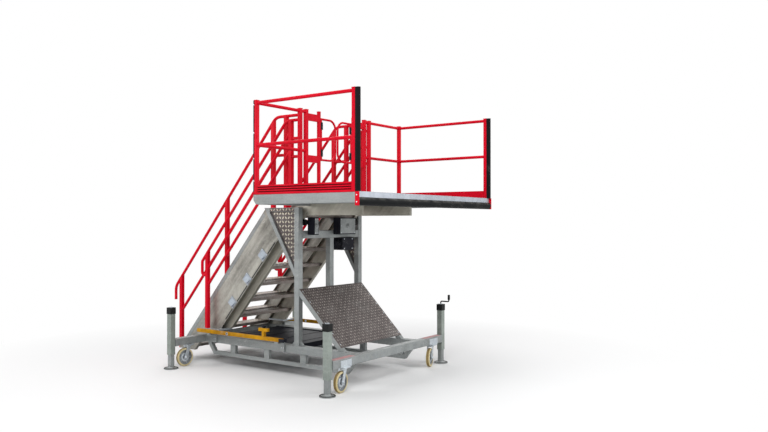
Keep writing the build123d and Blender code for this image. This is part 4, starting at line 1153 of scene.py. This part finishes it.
def winch_fittings():
    """Fittings of the winch: its lowest solid is the motor, the others are gear cases."""
    motor, *gears = sorted(solids("winch"), key=lambda ends: ends[0].z)
    bolts = Stock()
    motor_fittings(motor, bolts)
    gear_covers(gears, bolts)
    bolts.done("winch_bolts", "base", "zinc")


def tray_ribs():
    """Folded rim and pressed ribs on the dark tray between the base rails."""
    low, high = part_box("ballast_tray")
    ribs = Stock()
    count = 4
    fold = 0.024
    fold_rise = 0.010
    for step in range(count):
        x = low.x + (step + 0.5) * (high.x - low.x) / count
        ribs.rib(x, low, high, margin=0.06, width=0.060, rise=0.004, ease=0.0035)
    for y in (low.y, high.y - fold):
        ribs.block((low.x, y, high.z - SINK), (high.x, y + fold, high.z + fold_rise), 0.003)
    ribs.done("tray_ribs", "base", "dark_steel")


# Jacks, castors and stowed bars


def jack_bosses():
    """Screw bosses on the jack caps."""
    bosses = Stock()
    top = min(high.z for low, high in solids("jack_caps"))
    boss = [(0.002, -SINK), (0.026, -SINK), (0.026, 0.006), (0.020, 0.010), (0.002, 0.010)]
    for low, high in solids("jack_housings"):
        centre = middle(low, high)
        bosses.lathe(boss, (centre.x, centre.y, top), UP, 20)
    bosses.done("jack_screw_bosses", "base", "zinc")


def crank_grip():
    """Grip on the crank, which is part of the tallest jack cap."""
    low, high = max(solids("jack_caps"), key=lambda ends: ends[1].z)
    crank_radius = 0.009
    sleeve = [(crank_radius, -0.068), (0.014, -0.066), (0.017, -0.050), (0.016, -0.020),
              (0.018, -0.006), (0.014, 0.004), (0.003, 0.006)]
    grip = Stock()
    grip.lathe(sleeve, (high.x - crank_radius, middle(low, high).y, high.z), UP, 24)
    grip.done("jack_crank_grip", "base", "black_plastic")


def jack_pad_rims():
    """Raised rims on the jack pads."""
    rim = [(0.094, 0.0115), (0.094, 0.015), (0.086, 0.018), (0.080, 0.0115)]
    for corner in CORNERS:
        centre = middle(*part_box("jack_leg_" + corner))
        pad = Stock()
        pad.lathe(rim, (centre.x, centre.y, 0.0), UP, 40, True)
        pad.done("jack_pad_rim_" + corner, "jack_" + corner, "black_rubber")


def castor_tyre(corner):
    """Rounded tyre in place of the CAD one, with a darker band round its tread."""
    centre, axle = joint_line("roll_" + corner)
    half = 0.025
    depth = 0.025
    film = 0.0006
    steps = 14
    shoulder = 4
    fullness = 0.45
    profile = []
    for step in range(steps + 1):
        angle = pi * step / steps
        swell = sin(angle) ** fullness
        profile.append((centre.z - depth + (depth - film) * swell, -half * cos(angle)))
    tyre = Stock()
    tyre.lathe(profile, centre, axle, 64, True)
    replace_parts(tyre.done("tyre_" + corner, "wheel_" + corner, "cream_tyre"), "castor_tyre_" + corner)
    crown = profile[shoulder:-shoulder]
    band = [(radius + film, place) for radius, place in crown]
    band += [(radius - film, place) for radius, place in reversed(crown)]
    tread = Stock()
    tread.lathe(band, centre, axle, 64, True)
    tread.done("tyre_tread_" + corner, "wheel_" + corner, "cream_tyre", "darker_tread_band")


def castor_hub(corner):
    """Raised ring and rivets on both sides of a wheel's web."""
    centre, axle = joint_line("roll_" + corner)
    web = 0.011
    rivet_circle = 0.076
    ring = [(0.036, 0.0), (0.060, 0.0), (0.060, 0.004), (0.054, 0.006), (0.036, 0.006)]
    hub = Stock()
    for way in SIDES:
        hub.lathe(ring, centre + way * (web - SINK) * axle, way * axle, 32, True)
        for spot in circle(centre + way * web * axle, axle.cross(UP), UP, rivet_circle, 5):
            hub.rivet(spot, way * axle, 0.007, 0.004)
    hub.done("hub_cover_" + corner, "wheel_" + corner, "zinc")


def castor_fork(corner):
    """Swivel race round the fork's top, and axle nuts on its cheeks."""
    centre, axle = joint_line("roll_" + corner)
    swivel = joint_line("swivel_" + corner)[0]
    cheek = 0.039
    axle_nut = 0.018
    race = [(0.047, -0.016), (0.054, -0.014), (0.056, -0.009), (0.054, -0.004), (0.047, -0.002)]
    fork = Stock()
    fork.lathe(race, (swivel.x, swivel.y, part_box("castor_fork_" + corner)[1].z), UP, 36, True)
    for way in SIDES:
        fork.bolt(centre + way * cheek * axle, way * axle, axle_nut)
    fork.done("fork_race_" + corner, "castor_" + corner, "zinc")


def bar_fittings():
    """Grip knobs, clevis ends and bushes on the stowed bars."""
    dark = Stock()
    bush = Stock()
    section = 0.050
    stem = 0.33
    bush_place = 0.60
    cheek_y = 0.023
    cheek_half = 0.003
    cheek_margin = 0.003
    cheek_back = 0.05
    cheek_reach = 0.045
    pin_reach = 0.025
    knob = [(0.006, -SINK), (0.015, -SINK), (0.022, 0.010), (0.024, 0.022), (0.018, 0.034), (0.006, 0.038)]
    pin = [(0.004, -0.032), (0.010, -0.032), (0.010, 0.032), (0.004, 0.032)]
    ring = [(0.0135, -0.0215), (0.020, -0.0215), (0.020, 0.0215), (0.0135, 0.0215)]
    for low, high in solids("stowed_bars"):
        centre = middle(low, high)
        level = low.z + 0.5 * section
        dark.lathe(knob, (high.x - stem, centre.y, high.z), UP, 20)
        for way in SIDES:
            y = centre.y + way * cheek_y
            dark.block((high.x - cheek_back, y - cheek_half, low.z + cheek_margin),
                       (high.x + cheek_reach, y + cheek_half, low.z + section - cheek_margin))
        dark.lathe(pin, (high.x + pin_reach, centre.y, level), LEFT, 14)
        bush.lathe(ring, (low.x + bush_place, centre.y, level), LEFT, 20, True)
    dark.done("stowed_bar_ends", "base", "dark_steel")
    bush.done("stowed_bar_bushes", "base", "zinc")


# Stage


def seen_directly(net):
    """1 for rays from the camera and for reflected or refracted ones, else 0."""
    ray = net.node("LightPath").outputs
    mirrored = net.math("MAXIMUM", ray["Is Glossy Ray"], ray["Is Transmission Ray"])
    return net.math("MAXIMUM", ray["Is Camera Ray"], mirrored)


def floor_finish():
    """Pale matt floor near the machine, plain white further out."""
    finish, net, shader = new_finish("pale_floor")
    shader["Roughness"].default_value = 0.85
    place = net.place()
    speck = net.noise(place, 40.0, 3.0)
    net.put(shader["Base Color"], net.mix(speck, colour(0.90, 0.90, 0.90), colour(0.93, 0.93, 0.93)))
    distance = net.node("VectorMath", {"operation": "LENGTH"}, Vector=place).outputs["Value"]
    far = net.times(net.spread(distance, 2.6, 5.5), seen_directly(net))
    white = net.node("Emission", None, Color=WHITE, Strength=1.0)
    pale = net.tree.nodes["Principled BSDF"].outputs[0]
    surface = net.tree.nodes["Material Output"].inputs["Surface"]
    net.put(surface, net.blend(far, pale, white.outputs[0]))
    return finish


def lay_floor():
    """Broad round floor at the machine's feet."""
    reach = 60.0
    steps = 64
    mesh = bpy.data.meshes.new("floor")
    mesh.from_pydata(circle(Vector(), AHEAD, LEFT, reach, steps), [], [tuple(range(steps))])
    floor = bpy.data.objects.new("floor", mesh)
    bpy.context.scene.collection.objects.link(floor)
    mesh.materials.append(floor_finish())


def light_world():
    """Soft sky that lights the machine, and a white one wherever it is seen."""
    scene = bpy.context.scene
    scene.world = scene.world or bpy.data.worlds.new("studio")
    scene.world.use_nodes = True
    net = Net(scene.world.node_tree)
    net.tree.nodes.clear()
    soft = net.node("Background", None, Color=colour(0.97, 0.985, 1.0), Strength=0.34)
    white = net.node("Background", None, Color=WHITE, Strength=1.0)
    sky = net.blend(seen_directly(net), soft.outputs[0], white.outputs[0])
    net.put(net.node("OutputWorld").inputs["Surface"], sky)


def hang_lamps():
    """Soft square lamps, all turned to the machine's middle."""
    Lamp = namedtuple("Lamp", "place metres watts")
    lamps = {
        "key": Lamp((5.5, -8.5, 8.0), 5.0, 620),
        "side": Lamp((-7.0, -6.5, 5.0), 5.0, 240),
        "front": Lamp((9.0, 4.0, 5.0), 5.0, 340),
        "top": Lamp((0.0, 0.0, 9.5), 6.0, 240),
        "back": Lamp((-6.0, 8.0, 6.0), 5.0, 200),
    }
    for name, lamp in lamps.items():
        light = bpy.data.lights.new(name, "AREA")
        light.shape = "SQUARE"
        light.size = lamp.metres
        light.energy = lamp.watts
        holder = bpy.data.objects.new(name, light)
        holder.location = lamp.place
        holder.rotation_mode = "QUATERNION"
        holder.rotation_quaternion = (LAMP_TARGET - Vector(lamp.place)).to_track_quat("-Z", "Y")
        bpy.context.scene.collection.objects.link(holder)


def set_camera():
    """The photograph's camera."""
    view = bpy.data.cameras.new("camera")
    view.sensor_width = SENSOR_MM
    view.lens = FOCAL_PIXELS / IMAGE_WIDTH * SENSOR_MM
    view.clip_end = 200.0
    camera = bpy.data.objects.new("camera", view)
    level = cos(CAMERA_PITCH)
    heading = Vector((-sin(CAMERA_YAW) * level, cos(CAMERA_YAW) * level, sin(CAMERA_PITCH)))
    camera.location = (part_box("deck_floor")[1].x + CAMERA_AHEAD, -CAMERA_RIGHT, CAMERA_HEIGHT)
    camera.rotation_mode = "QUATERNION"
    camera.rotation_quaternion = heading.to_track_quat("-Z", "Y")
    bpy.context.scene.collection.objects.link(camera)
    bpy.context.scene.camera = camera


dress_nodes()
deck_plate()
kick_board_groove_shadows()
deck_nosing_ribs()
guard_caps()
guard_strips()
guard_welds()
fender_fittings()
gate_springs()
step_plates("fixed_treads", "base")
step_plates("slide_treads", "platform")
stair_rivets()
cover_fittings()
stringer_trim()
slope_plate()
gusset_bars()
frame_welds()
base_bolts()
beam_tapes()
winch_fittings()
tray_ribs()
jack_bosses()
crank_grip()
jack_pad_rims()
for corner in CORNERS:
    castor_tyre(corner)
    castor_hub(corner)
    castor_fork(corner)
bar_fittings()
bpy.context.scene.view_settings.view_transform = "Standard"
lay_floor()
light_world()
hang_lamps()
set_camera()
